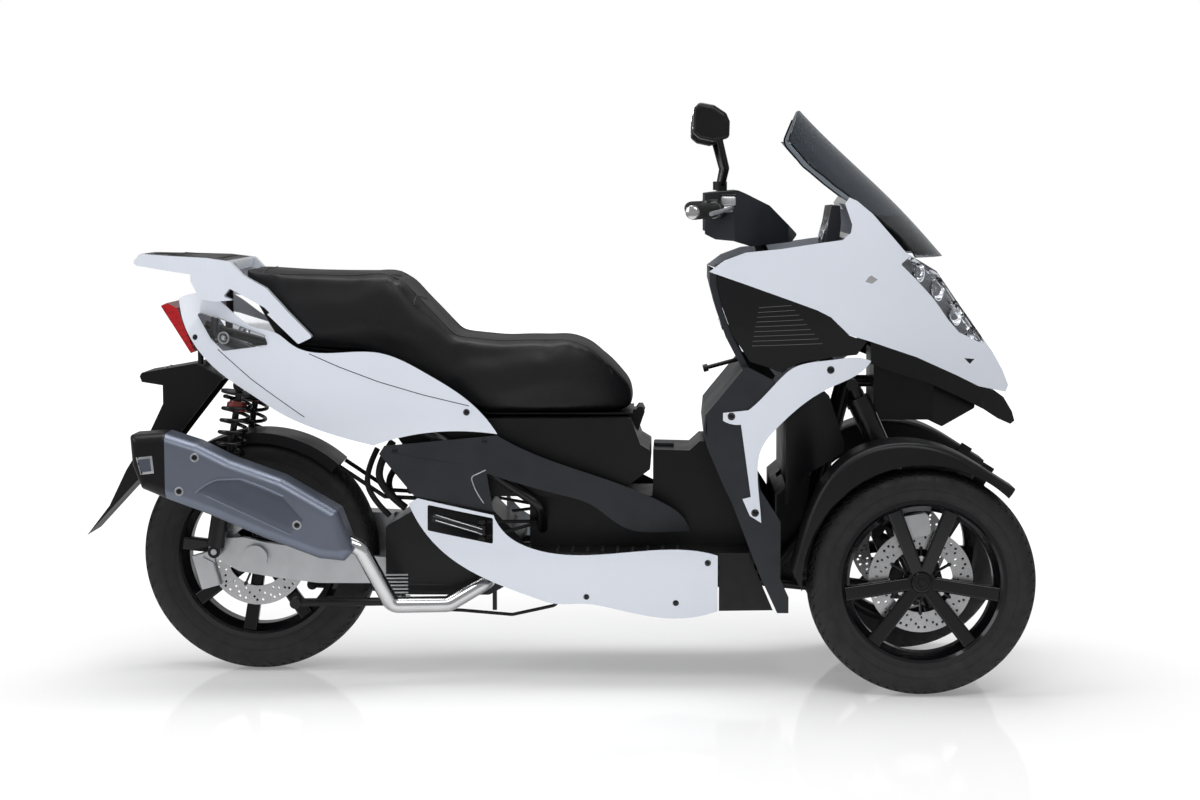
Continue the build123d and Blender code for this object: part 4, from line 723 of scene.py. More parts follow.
# Half of the tyre's section: share of the half width, share of the rise from seat to tread
TYRE_SECTION = [(0.78, 0.05), (0.80, 0.12), (0.845, 0.20), (0.90, 0.30), (0.952, 0.41), (0.985, 0.50),
                (0.998, 0.60), (0.975, 0.69), (0.93, 0.765), (0.865, 0.832), (0.79, 0.875), (0.70, 0.907),
                (0.60, 0.932), (0.50, 0.953), (0.40, 0.969), (0.30, 0.982), (0.20, 0.991), (0.10, 0.997)]
SIDEWALL_BANDS = [(0.16, 0.825), (0.42, 0.958)]
GROOVE_LEAD = 9.0
WHEELS = {
    "front_tyre_right": ("front_wheel_right", FRONT_AXLE["right"]),
    "front_tyre_left": ("front_wheel_left", FRONT_AXLE["left"]),
    "rear_tyre": ("rear_wheel", REAR_AXLE),
}
RIM_SEATS = {"front_tyre_right": 0.1843, "front_tyre_left": 0.1843, "rear_tyre": 0.1943}
DISC_WALL = 0.005
DISC_SEGMENTS = 96
DISC_RINGS = 6
DISC_INNER = 0.074
# Ring and column of the drilled holes; the pattern comes again after each DISC_REPEAT columns
DISC_HOLES = ((1, 0), (2, 2), (3, 4), (4, 1), (4, 5))
DISC_REPEAT = 6
ARM_TURN = radians(30)
VALVE_RADIUS = 0.0032


def way_round(turn):
    """Unit step from a wheel's centre at an angle in radians, in the plane of the wheel."""
    return Vector((cos(turn), 0, sin(turn)))


def wheel_radius(spot):
    """Distance from the axle of a spot given from the wheel's centre."""
    return sqrt(spot.x ** 2 + spot.z ** 2)


def tyre_measures(node):
    """Outer radius, half width and seat radius of a tyre."""
    size = node_size(node)
    return size.z / 2, size.y / 2, RIM_SEATS[node]


def build_tyre(node, settings):
    """Tyre with its slanted tread grooves, spun from one section and then cut."""
    body, centre = WHEELS[node]
    outer, half, seat = tyre_measures(node)
    depth = outer - seat
    section = [(share * half, seat + rise * depth) for share, rise in TYRE_SECTION]
    section = section + [(0.0, outer)] + [(-y, r) for y, r in reversed(section)]
    bm = bmesh.new()
    steps, pitch = settings.tread_steps, settings.tread_pitch
    full_turn(bm, [centre + Vector((0, y, r)) for y, r in section], centre, (0, 1, 0), steps)
    bm.normal_update()
    grooves = []
    for face in bm.faces:
        spot = face.calc_center_median() - centre
        share = abs(spot.y) / half
        radius = wheel_radius(spot)
        turn = (atan2(spot.z, spot.x) / (2 * pi) * steps) % steps
        lead = share * GROOVE_LEAD if spot.y > 0 else share * GROOVE_LEAD + pitch / 2
        if 0.12 < share < 0.97 and radius > seat + depth * 0.70 and int(turn + lead) % pitch == 0:
            grooves.append(face)
        elif share > 0.55 and radius > seat + depth * 0.80 and int(turn + lead + pitch / 2) % pitch == 0:
            grooves.append(face)
    cut = bmesh.ops.extrude_face_region(bm, geom=grooves)
    sunk = [item for item in cut["geom"] if isinstance(item, bmesh.types.BMVert)]
    for vert in sunk:
        towards = (vert.co - centre) * Vector((1, 0, 1))
        vert.co -= towards.normalized() * settings.tread_depth
    bmesh.ops.delete(bm, geom=grooves, context="FACES")
    put_piece(bm, f"{node}_tread", body, "tyre", tyre_rubber(), replaces=(node,), smooth_deg=30)


class SCOOTER_OT_tyres(bpy.types.Operator):
    """Tyres with cut tread and sidewall bands"""
    bl_idname = "scooter.tyres"
    bl_label = "Tyres"

    def execute(self, context):
        for node in WHEELS:
            build_tyre(node, context.scene.scooter_sizes)
            self.sidewall_bands(node)
        return {"FINISHED"}

    def sidewall_bands(self, node):
        body, centre = WHEELS[node]
        outer, half, seat = tyre_measures(node)
        depth = (outer - seat) * 1000
        bm = bmesh.new()
        for side in SIDES.values():
            for rise, share in SIDEWALL_BANDS:
                radius = seat * 1000 + rise * depth
                along = share * half * 1000
                profile = [(radius - 1.2, along - 1.5), (radius - 0.8, along + 0.5),
                           (radius + 0.8, along + 0.7), (radius + 1.2, along - 1.5)]
                revolve(bm, profile, centre, (0, side, 0), 120)
        put_piece(bm, f"{node}_bands", body, "tyre", tyre_rubber())


def build_disc(node, body, centre, hub, arms):
    """Drilled brake disc in place of a node, on a spider with so many arms; hub is its hub's radius."""
    low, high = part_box(node)
    face_y = low.y
    span = (high.z - low.z) / 2 - DISC_INNER
    bm = bmesh.new()
    lie_flat = Matrix.Translation((centre.x, face_y, centre.z)) @ Matrix.Rotation(pi / 2, 4, "X")
    ring = bmesh.ops.create_circle(bm, cap_ends=False, radius=DISC_INNER, segments=DISC_SEGMENTS,
                                   matrix=lie_flat)["verts"]
    edges = list({edge for vert in ring for edge in vert.link_edges})
    for number in range(1, DISC_RINGS + 1):
        grown = bmesh.ops.extrude_edge_only(bm, edges=edges)["geom"]
        verts = [item for item in grown if isinstance(item, bmesh.types.BMVert)]
        edges = [item for item in grown if isinstance(item, bmesh.types.BMEdge)
                 and all(vert in verts for vert in item.verts)]
        radius = DISC_INNER + span * number / DISC_RINGS
        for vert in verts:
            spot = vert.co - centre
            scale = radius / wheel_radius(spot)
            vert.co = Vector((centre.x + spot.x * scale, face_y, centre.z + spot.z * scale))
    drilled = []
    for face in bm.faces:
        spot = face.calc_center_median() - centre
        row = int((wheel_radius(spot) - DISC_INNER) / span * DISC_RINGS)
        column = int((atan2(spot.z, spot.x) / (2 * pi) * DISC_SEGMENTS) % DISC_SEGMENTS)
        if (row, column % DISC_REPEAT) in DISC_HOLES:
            drilled.append(face)
    bmesh.ops.inset_individual(bm, faces=drilled, thickness=0.0011, depth=0)
    corners = list({vert for face in drilled for vert in face.verts})
    bmesh.ops.bevel(bm, geom=corners, offset=0.0014, segments=1, affect="VERTICES", profile=0.5, material=-1)
    holes = [face for face in bm.faces if len(face.verts) == 8]
    bmesh.ops.delete(bm, geom=holes, context="FACES")
    bmesh.ops.recalc_face_normals(bm, faces=bm.faces)
    if sum(face.normal.y for face in bm.faces) > 0:
        bmesh.ops.reverse_faces(bm, faces=bm.faces)
    bmesh.ops.solidify(bm, geom=bm.faces, thickness=DISC_WALL)
    lowest = min(vert.co.y for vert in bm.verts)
    for vert in bm.verts:
        vert.co.y += face_y - lowest
    put_piece(bm, f"{node}_drilled", body, "steel", disc_steel(), replaces=(node,))
    bm = bmesh.new()
    middle = Vector((centre.x, face_y + DISC_WALL / 2, centre.z))
    ways = [way_round(ARM_TURN + 2 * pi / arms * number) for number in range(arms)]
    for way in ways:
        bar(bm, middle + way * hub, middle + way * (DISC_INNER + 0.006), 0.014, DISC_WALL * 0.9, 0.001)
    near, far = hub * 1000 - 14, hub * 1000 + 8
    revolve(bm, [(near, -2), (far, -2), (far, 2), (near, 2), (near, -2)], middle, (0, 1, 0), 48)
    for way in ways:
        spot = middle + way * (DISC_INNER + 0.001)
        for side in SIDES.values():
            hex_bolt(bm, spot + Vector((0, side * 0.0022, 0)), (0, side, 0), 3.6, 2.0)
    put_piece(bm, f"{node}_spider", body, "alloy", wheel_paint())


class SCOOTER_OT_discs(bpy.types.Operator):
    """Drilled brake discs on their spiders"""
    bl_idname = "scooter.discs"
    bl_label = "Brake discs"

    def execute(self, context):
        for name in SIDES:
            build_disc(f"front_disc_{name}", f"front_wheel_{name}", FRONT_AXLE[name], 0.032, 6)
        build_disc("rear_disc", "rear_wheel", REAR_AXLE, 0.038, 5)
        return {"FINISHED"}


HUB_CAP = [(0, 1.2), (7, 1.2), (8, 2.6), (10, 2.6), (11, 1.0), (17, 1.0), (18, 2.8), (22.5, 2.6), (24.4, 0.6),
           (24.4, -2)]
DISC_BOLT = [(0, 9), (3.2, 9), (3.6, 8), (3.6, 6), (6.4, 6), (7, 5.4), (7, -1), (0, -1)]


class SCOOTER_OT_wheel_trim(bpy.types.Operator):
    """Hub caps, disc bolts and valves"""
    bl_idname = "scooter.wheel_trim"
    bl_label = "Wheel trim"

    def execute(self, context):
        for name, side in SIDES.items():
            centre = FRONT_AXLE[name]
            outward = Vector((0, side, 0))
            hub_face = land(f"front_rim_{name}", (centre.x + 0.004, side, centre.z), -outward)[0]
            hub_face = Vector((centre.x, hub_face.y, centre.z))
            bm = bmesh.new()
            revolve(bm, HUB_CAP, hub_face, outward, 64)
            put_piece(bm, f"front_hub_cap_{name}", f"front_wheel_{name}", "wheel_black", gloss_black())
            bm = bmesh.new()
            for degrees_up in (90, 210, 330):
                spot = centre + way_round(radians(degrees_up)) * 0.053
                foot = Vector((spot.x, centre.y + side * 0.0055, spot.z))
                revolve(bm, DISC_BOLT, foot, outward, 24)
            put_piece(bm, f"front_disc_bolts_{name}", f"front_wheel_{name}", "steel", bright_steel())
            valve = ((-0.118, side * 0.006, -0.126), (-0.11, side * 0.012, -0.118),
                     (-0.104, side * 0.03, -0.111))
            self.valve(f"front_valve_{name}", f"front_wheel_{name}", centre, valve)
        valve = ((0.128, -0.006, 0.128), (0.12, -0.012, 0.12), (0.112, -0.034, 0.112))
        self.valve("rear_valve", "rear_wheel", REAR_AXLE, valve)
        return {"FINISHED"}

    def valve(self, name, body, centre, places):
        """Valve stem along places given from the wheel's centre."""
        bm = bmesh.new()
        tube(bm, [centre + Vector(place) for place in places], VALVE_RADIUS)
        put_piece(bm, name, body, "rubber", hose_rubber())


COIL_STEPS = 28


def damper_ends(side):
    """Foot and head of a rear damper, and the unit step from foot to head."""
    foot = Vector((REAR_AXLE.x - 0.092, side * 0.128, 0.303))
    head = Vector((REAR_AXLE.x - 0.025, side * 0.128, 0.700))
    return foot, head, (head - foot).normalized()


class SCOOTER_OT_springs(bpy.types.Operator):
    """Coil springs round the two rear dampers, with their adjusters"""
    bl_idname = "scooter.springs"
    bl_label = "Rear springs"

    def execute(self, context):
        settings = context.scene.scooter_sizes
        turns = settings.spring_turns
        bm = bmesh.new()
        for side in SIDES.values():
            foot, head, up = damper_ends(side)
            start, end = foot + up * 0.131, head - up * 0.029
            across = up.orthogonal().normalized()
            rise = (end - start).length / (turns * COIL_STEPS)
            lie_across = up.cross(across).to_track_quat("Z", "Y").to_matrix().to_4x4()
            wire_place = Matrix.Translation(start + across * settings.spring_radius) @ lie_across
            wire = bmesh.ops.create_circle(bm, cap_ends=False, radius=settings.spring_wire, segments=10,
                                           matrix=wire_place)["verts"]
            ring = list({edge for vert in wire for edge in vert.link_edges})
            bmesh.ops.spin(bm, geom=wire + ring, cent=start, axis=up, dvec=up * rise, angle=2 * pi * turns,
                           steps=int(turns * COIL_STEPS))
            bmesh.ops.holes_fill(bm, edges=[edge for edge in bm.edges if edge.is_boundary], sides=12)
        put_piece(bm, "rear_coils", "chassis", "spring_steel", gloss_black(), replaces=("rear_springs",),
                  smooth_deg=60)
        bm = bmesh.new()
        for side in SIDES.values():
            _, head, up = damper_ends(side)
            collar(bm, head - up * 0.060, up, 24, 8.2, 16)
            collar(bm, head - up * 0.046, up, 19, 8.2, 8)
        put_piece(bm, "spring_adjusters", "chassis", "spring_steel", adjuster_red())
        return {"FINISHED"}


# Silencer

SILENCER_PANEL = [(-806, 470), (-760, 494), (-705, 496), (-606, 456), (-560, 404), (-590, 372), (-700, 424),
                  (-779, 461)]
UPPER_CREASE = [(-808, 468), (-788, 484), (-760, 498), (-705, 500), (-660, 484), (-604, 459)]
LOWER_CREASE = [(-782, 459), (-700, 421), (-588, 369)]
OUTLET_PATCH = [(-944, 548), (-906, 552), (-902, 512), (-934, 508)]
OUTLET_FACE = [(-939, 543), (-911, 546), (-908, 517), (-931, 514)]


class SCOOTER_OT_silencer(bpy.types.Operator):
    """Dark panel, creases, screws and outlet patch of the silencer"""
    bl_idname = "scooter.silencer"
    bl_label = "Silencer"

    def execute(self, context):
        side = SIDES["right"]
        panel = skin_patch("muffler", SILENCER_PANEL, side, 0.5, 1.0, rim=0.4)
        put_piece(panel, "silencer_panel", "chassis", "black_paint", silencer_dark())
        bm = bmesh.new()
        skin_line(bm, "muffler", UPPER_CREASE, side, 3.2, -0.8)
        skin_line(bm, "muffler", LOWER_CREASE, side, 2.0, -0.6)
        put_piece(bm, "silencer_creases", "chassis", "black_paint", silencer_paint())
        heads, rings = bmesh.new(), bmesh.new()
        for x, z in ((-808, 548), (-845, 470), (-574, 392)):
            place, normal = side_spot("muffler", x, z, side)
            screw(heads, place, normal, 6.2)
            collar(rings, place, normal, 10.5, 6.6, 1.6)
        put_piece(heads, "silencer_screws", "chassis", "steel", gloss_black())
        put_piece(rings, "silencer_washers", "chassis", "alloy", satin_alloy())
        patch = skin_patch("muffler_cap", OUTLET_PATCH, side, 0.4, 1.2, rim=0.4)
        put_piece(patch, "silencer_outlet_patch", "chassis", "alloy", satin_alloy())
        face = skin_patch("muffler_cap", OUTLET_FACE, side, 0.9, 1.2)
        put_piece(face, "silencer_outlet_face", "chassis", "black_paint", silencer_dark())
        return {"FINISHED"}


# Screws that hold the body panels

# Node, x and z in millimetres, and the head's radius in millimetres
BODY_SCREWS = [
    ("rear_panels", -191, 643, 5.5), ("rear_panels", -842, 812, 4.5),
    ("shield_trims", 423, 640, 6.5), ("shield_trims", 650, 746, 6.5), ("shield_trims", 478, 417, 6.5),
    ("lower_panels", 370, 296, 5.0), ("lower_panels", 296, 200, 5.0), ("lower_panels", 88, 214, 4.5),
    ("mid_panels", -360, 553, 4.5), ("mid_panels", -150, 575, 4.5),
]


class SCOOTER_OT_body_screws(bpy.types.Operator):
    """Screws with their washers on the body panels"""
    bl_idname = "scooter.body_screws"
    bl_label = "Body screws"

    def execute(self, context):
        heads, rings = bmesh.new(), bmesh.new()
        for node, x, z, radius in BODY_SCREWS:
            for side in SIDES.values():
                place, normal = side_spot(node, x, z, side)
                screw(heads, place, normal, radius, 0.4)
                collar(rings, place, normal, radius + 2.2, radius + 0.2, 0.9)
        put_piece(heads, "panel_screws", "chassis", "black_paint", gloss_black())
        put_piece(rings, "panel_washers", "chassis", "dark_plastic", black_plastic())
        return {"FINISHED"}


# Lamps

LAMP_BOWLS = [(866, 966, 20), (912, 925, 25), (958, 868, 27), (996, 812, 20)]
LAMP_OUTLINE = [(824, 982), (837, 994), (884, 974), (925, 932), (972, 870), (1006, 806), (962, 830),
                (938, 858), (898, 912), (858, 953)]


MARKER_OUTLINE = [(730, 946), (742, 962), (760, 951), (746, 941)]
VENT_OUTLINE = [(972, 762), (998, 759), (986, 748)]
BULB = [(0, -4), (4.5, -5.5), (6, -9), (5.5, -14), (3.5, -18), (0, -19)]
SIGNAL_LENS = [(0, 7), (6, 6.2), (10.5, 3.5), (12, 0), (12, -2)]
# How far the bowls' mouths lie behind the lens's outer skin, in metres
LAMP_DEPTH = 0.0155


class SCOOTER_OT_lamps(bpy.types.Operator):
    """Headlamp bowls, rings and bulbs, marker lenses, cowl vents and rear turn signals"""
    bl_idname = "scooter.lamps"
    bl_label = "Lamps"

    def execute(self, context):
        for name, side in SIDES.items():
            bowls, frames, bulbs = bmesh.new(), bmesh.new(), bmesh.new()
            for x, z, radius in LAMP_BOWLS:
                place, normal = side_spot("headlamps", x, z, side)
                mouth = place - normal * LAMP_DEPTH
                aim = (normal + Vector((0.9, 0, 0.1))).normalized()
                bowl = [(radius, 0), (radius * 0.97, -3), (radius * 0.86, -9), (radius * 0.62, -15),
                        (radius * 0.3, -19), (0, -20)]
                ring = [(radius, 0.2), (radius + 2.4, 0.8), (radius + 3, -2), (radius + 0.6, -3),
                        (radius, 0.2)]
                revolve(bowls, bowl, mouth, aim, 32)
                revolve(frames, ring, mouth, aim, 32)
                revolve(bulbs, BULB, mouth, aim, 20)
            put_piece(bowls, f"headlamp_bowls_{name}", "chassis", "alloy", lamp_chrome())
            put_piece(frames, f"headlamp_rings_{name}", "chassis", "alloy", lamp_chrome())
            put_piece(bulbs, f"headlamp_bulbs_{name}", "chassis", "clear_lens", lamp_glass())
            back = skin_patch("headlamps", LAMP_OUTLINE, side, -30, 1.5)
            put_piece(back, f"headlamp_back_{name}", "chassis", "dark_plastic", lamp_grey())
            marker = skin_patch("front_cowl", MARKER_OUTLINE, side, 0.3, 2.2, rim=0.8)
            put_piece(marker, f"marker_lens_{name}", "chassis", "clear_lens", lamp_chrome())
            vent = skin_patch("front_cowl", VENT_OUTLINE, side, 0.2, 0.8, cuts=1)
            put_piece(vent, f"cowl_vent_{name}", "chassis", "dark_plastic", gloss_black())
            place, normal = side_spot("rear_indicators", -768, 812, side)
            bm = bmesh.new()
            revolve(bm, SIGNAL_LENS, place, normal, 32)
            put_piece(bm, f"rear_signal_lens_{name}", "chassis", "clear_lens", lamp_glass())
            bm = bmesh.new()
            collar(bm, place, normal, 15, 11.8, 2.4)
            revolve(bm, [(0, 2), (4, 2), (5, 0), (5, -1)], place, normal, 20)
            put_piece(bm, f"rear_signal_ring_{name}", "chassis", "alloy", satin_alloy())
        return {"FINISHED"}


# Tail, plate holder and rack

# Corners of the pad on the rack, x and y in millimetres
RACK_PAD = [(-968, -62), (-968, 62), (-900, 112), (-800, 146), (-756, 152), (-756, -152), (-800, -146),
            (-900, -112)]
# Height in metres above the rack, from which the pad and ribs are cast down
OVER_RACK = 1.3


class SCOOTER_OT_tail(bpy.types.Operator):
    """Rack pad and ribs, reflector, plate holder bolts and the tail lamp's bars"""
    bl_idname = "scooter.tail"
    bl_label = "Tail trim"

    def execute(self, context):
        flat = [(x / 1000, y / 1000, 0) for x, y in RACK_PAD]
        pad = drape("grab_rail", flat, UP * OVER_RACK, DOWN, 0.0006, 0.0014)
        put_piece(pad, "rack_pad", "chassis", "dark_plastic", black_plastic())
        bm = bmesh.new()
        for y in (-96, -64, -32, 0, 32, 64, 96):
            rear_x = -0.952 if abs(y) < 60 else -0.905
            front = land("grab_rail", (-0.775, y / 1000, OVER_RACK), DOWN)[0]
            rear = land("grab_rail", (rear_x, y / 1000, OVER_RACK), DOWN)[0]
            bar(bm, front + UP * 0.0005, rear + UP * 0.0005, 0.006, 0.003, 0.001)
        put_piece(bm, "rack_ribs", "chassis", "rubber", hose_rubber())
        bm = bmesh.new()
        rear = land("plate_holder", (-1.3, 0.0, 0.664), AHEAD)[0]
        bar(bm, rear + Vector((-0.001, -0.034, 0)), rear + Vector((-0.001, 0.034, 0)), 0.008, 0.030, 0.002)
        put_piece(bm, "rear_reflector", "chassis", "red_lens", red_lens())
        bm = bmesh.new()
        for y in (-0.03, 0.03):
            top = land("plate_holder", (-0.93, y, 1.0), DOWN)[0]
            hex_bolt(bm, top, UP, 4, 3)
        put_piece(bm, "holder_bolts", "chassis", "steel", bright_steel())
        bm = bmesh.new()
        for step in range(7):
            for side in SIDES.values():
                spot = land("tail_lamp", (-1.2, side * 0.045, 0.782 + step * 0.014), AHEAD)[0]
                bar(bm, spot + Vector((0, -0.034, 0)), spot + Vector((0, 0.034, 0)), 0.004, 0.004, 0.0012)
        put_piece(bm, "tail_lamp_bars", "chassis", "red_lens", red_lens())
        return {"FINISHED"}


# Seat

SEAT_VOXEL = 0.008
CLOTH_FRAMES = 20
# The groove between the rider's and the passenger's cover, and the other seams, in metres
WAIST_X = -0.362
WAIST_HALF = 0.012
CROSS_SEAMS = (-0.30, WAIST_X, -0.665)
OVER_SEAT = 1.2


def seat_form():
    """Copy of the cushion's mesh with its doubles merged."""
    bm = bmesh.new()
    bm.from_mesh(NODES["seat_cushion"].data)
    bmesh.ops.remove_doubles(bm, verts=bm.verts, dist=1e-5)
    bmesh.ops.recalc_face_normals(bm, faces=bm.faces)
    mesh = bpy.data.meshes.new("seat_padding")
    bm.to_mesh(mesh)
    bm.free()
    obj = bpy.data.objects.new("seat_padding", mesh)
    bpy.context.scene.collection.objects.link(obj)
    return obj


def set_mesh(obj, mesh):
    old = obj.data
    obj.data = mesh
    bpy.data.meshes.remove(old)


def apply_modifiers(obj):
    graph = bpy.context.evaluated_depsgraph_get()
    mesh = bpy.data.meshes.new_from_object(obj.evaluated_get(graph))
    obj.modifiers.clear()
    set_mesh(obj, mesh)


class SCOOTER_OT_seat(bpy.types.Operator):
    """Padded seat cover filled out by a cloth simulation, with its seams"""
    bl_idname = "scooter.seat"
    bl_label = "Seat"

    def execute(self, context):
        settings = context.scene.scooter_sizes
        obj = seat_form()
        remesh = obj.modifiers.new("remesh", "REMESH")
        remesh.mode = "VOXEL"
        remesh.voxel_size = SEAT_VOXEL
        apply_modifiers(obj)
        smooth_out(obj.data, 2)
        shrink_skin(obj.data, settings.seat_shrink)
        self.fill_out(context, obj, settings)
        smooth_out(obj.data, 10)
        subdivide = obj.modifiers.new("subdivide", "SUBSURF")
        subdivide.levels = subdivide.render_levels = 1
        apply_modifiers(obj)
        self.press_waist(obj.data)
        obj.data.shade_smooth()
        dress(obj, seat_vinyl())
        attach(obj, "seat")
        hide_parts("seat_cushion")
        self.seams(obj)
        return {"FINISHED"}

    def fill_out(self, context, obj, settings):
        """Cloth simulation under pressure; no spot may move further than the seat's swell."""
        before = [vert.co.copy() for vert in obj.data.vertices]
        cloth = obj.modifiers.new("cloth", "CLOTH")
        cloth.settings.quality = 5
        cloth.settings.mass = 0.3
        cloth.settings.use_pressure = True
        cloth.settings.uniform_pressure_force = settings.seat_pressure
        cloth.settings.effector_weights.gravity = 0
        cloth.collision_settings.use_collision = False
        for number in range(1, CLOTH_FRAMES + 1):
            context.scene.frame_set(number)
        apply_modifiers(obj)
        context.scene.frame_set(1)
        cap = settings.seat_swell
        for vert, start in zip(obj.data.vertices, before):
            moved = vert.co - start
            if moved.length > cap:
                vert.co = start + moved.normalized() * cap
        low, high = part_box("seat_cushion")
        for vert in obj.data.vertices:
            vert.co = Vector(tuple(min(max(value, lo - 0.002), hi + 0.002)
                                   for value, lo, hi in zip(vert.co, low, high)))

    def press_waist(self, mesh):
        """Shallow groove across the passenger's step, where the two covers are sewn."""
        for vert in mesh.vertices:
            near = abs(vert.co.x - (WAIST_X + (vert.co.z - 0.95) * 0.3))
            if near < WAIST_HALF and vert.co.z > 0.90:
                vert.co.z -= 0.003 * (1 - near / WAIST_HALF)

    def seams(self, seat):
        """Piping across the cover and along both of its sides."""
        bm = bmesh.new()
        bm.from_mesh(seat.data)
        tree = BVHTree.FromBMesh(bm)
        bm.clear()
        ys = [0.155 * step / 20 for step in range(-20, 21)]
        for x in CROSS_SEAMS:
            self.seam(bm, tree, [(x - abs(y) * 0.12, y) for y in ys], 0.35, 0.0018)
        for side in SIDES.values():
            self.seam(bm, tree, [(-0.70 + 0.86 * step / 60, side * 0.112) for step in range(61)], 0.1, 0.0016)
        put_piece(bm, "seat_seams", "seat", "seat_vinyl", seam_thread())

    def seam(self, bm, tree, spots, least_rise, radius):
        """Piping over some (x, y) spots of the cover, where its skin faces up enough."""
        run = []
        for x, y in spots:
            hit, normal, _, _ = tree.ray_cast(Vector((x, y, OVER_SEAT)), DOWN)
            if hit is not None and normal.z > least_rise:
                run.append(hit + normal * 0.0002)
        if len(run) > 4:
            tube(bm, run, radius, 8)


def smooth_out(mesh, rounds):
    bm = bmesh.new()
    bm.from_mesh(mesh)
    for _ in range(rounds):
        bmesh.ops.smooth_vert(bm, verts=bm.verts, factor=0.5,
                              use_axis_x=True, use_axis_y=True, use_axis_z=True)
    bmesh.ops.recalc_face_normals(bm, faces=bm.faces)
    bm.to_mesh(mesh)
    bm.free()


def shrink_skin(mesh, amount):
    normals = [vert.normal.copy() for vert in mesh.vertices]
    for vert, normal in zip(mesh.vertices, normals):
        vert.co = vert.co - normal * amount


# Handlebar, mirrors and dash

GRIP_RIB = [(15.5, -1.6), (17.4, -1.0), (17.4, 1.0), (15.5, 1.6), (15.5, -1.6)]
GRIP_RIBS = 15
RIB_PITCH = 0.0068
SWITCH_BOX = [(0, -16), (19, -16), (22, -13), (22, 13), (19, 16), (0, 16)]
# Bar-end weight with three raised rings
BAR_END = [(0, -1), (12.6, -1), (15.6, 0), (15.6, 2.2), (13.4, 2.8), (15.6, 3.4), (15.6, 5.6), (13.4, 6.2),
           (15.6, 6.8), (15.6, 9.0), (13.4, 9.6), (14.6, 11.5), (12, 13.6), (0, 14)]
GLASS_HALF = 0.040
GLASS_LOW = 1.292
GLASS_HIGH = 1.338
# Corners of a mirror's glass: y from its middle, and z
MIRROR_GLASS = [
    (-GLASS_HALF, GLASS_LOW + 0.006), (-GLASS_HALF + 0.006, GLASS_LOW),
    (GLASS_HALF - 0.006, GLASS_LOW), (GLASS_HALF, GLASS_LOW + 0.006),
    (GLASS_HALF, GLASS_HIGH - 0.012), (GLASS_HALF - 0.012, GLASS_HIGH),
    (-GLASS_HALF + 0.012, GLASS_HIGH), (-GLASS_HALF, GLASS_HIGH - 0.012),
]


class SCOOTER_OT_controls(bpy.types.Operator):
    """Grip ribs, bar-end weights, reservoirs, switch boxes and the mirrors' glass"""
    bl_idname = "scooter.controls"
    bl_label = "Handlebar and mirrors"

    def execute(self, context):
        for name, side in SIDES.items():
            outer = Vector((0.330, side * 0.392, 1.108))
            inner = Vector((0.395, side * 0.235, 1.112))
            out = (outer - inner).normalized()
            self.grip_trim(name, outer, out)
            self.switches(name, side, inner + out * 0.018, out)
            self.reservoir(name, inner + Vector((0.020, side * 0.012, 0.020)))
        self.mirror_trim()
        return {"FINISHED"}

    def grip_trim(self, name, outer, out):
        bm = bmesh.new()
        for number in range(GRIP_RIBS):
            revolve(bm, GRIP_RIB, outer - out * (0.022 + number * RIB_PITCH), out, 32)
        put_piece(bm, f"grip_ribs_{name}", "steering", "rubber", hose_rubber())
        bm = bmesh.new()
        revolve(bm, BAR_END, outer - out * 0.0125, out, 40)
        put_piece(bm, f"bar_end_{name}", "steering", "alloy", bright_steel())

    def switches(self, name, side, switch, out):
        bm = bmesh.new()
        revolve(bm, SWITCH_BOX, switch, out, 36)
        bar(bm, switch + Vector((-0.02, 0, 0.010)), switch + Vector((0.006, 0, 0.012)), 0.028, 0.026, 0.004)
        put_piece(bm, f"switch_box_{name}", "steering", "dark_plastic", black_plastic())
        bm = bmesh.new()
        for number, height in enumerate((0.018, 0.010, 0.000)):
            spot = switch + Vector((-0.0225, side * (number - 1) * 0.006, height))
            bar(bm, spot, spot + Vector((-0.004, 0, 0)), 0.009, 0.006, 0.0015)
        put_piece(bm, f"switch_keys_{name}", "steering", "rubber", lamp_grey())

    def reservoir(self, name, tank):
        bm = bmesh.new()
        bar(bm, tank + Vector((-0.017, 0, 0.0)), tank + Vector((0.017, 0, 0.0)), 0.040, 0.022, 0.004)
        put_piece(bm, f"reservoir_{name}", "steering", "alloy", satin_alloy())
        bm = bmesh.new()
        bar(bm, tank + Vector((-0.018, 0, 0.0125)), tank + Vector((0.018, 0, 0.0125)), 0.042, 0.004, 0.0012)
        for x, y in ((-0.013, -0.016), (-0.013, 0.016), (0.013, -0.016), (0.013, 0.016)):
            screw(bm, tank + Vector((x, y, 0.0142)), UP, 2.2)
        put_piece(bm, f"reservoir_lid_{name}", "steering", "black_paint", gloss_black())

    def mirror_trim(self):
        low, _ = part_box("mirrors")
        for name, side in SIDES.items():
            middle = side * (abs(low.y) - 0.052)
            flat = [(0, middle + y, z) for y, z in MIRROR_GLASS]
            glass = drape("mirrors", flat, (0, 0, 0), AHEAD, 0.0006, 0.001, reach=0.40)
            put_piece(glass, f"mirror_glass_{name}", "steering", "steel", mirror_silver())


# Middle in metres and radius in millimetres of the dials
DIALS = ((-0.062, 30), (0.0, 24), (0.062, 30))
DIAL_MARKS = 13
HAND_TURN = radians(-120)


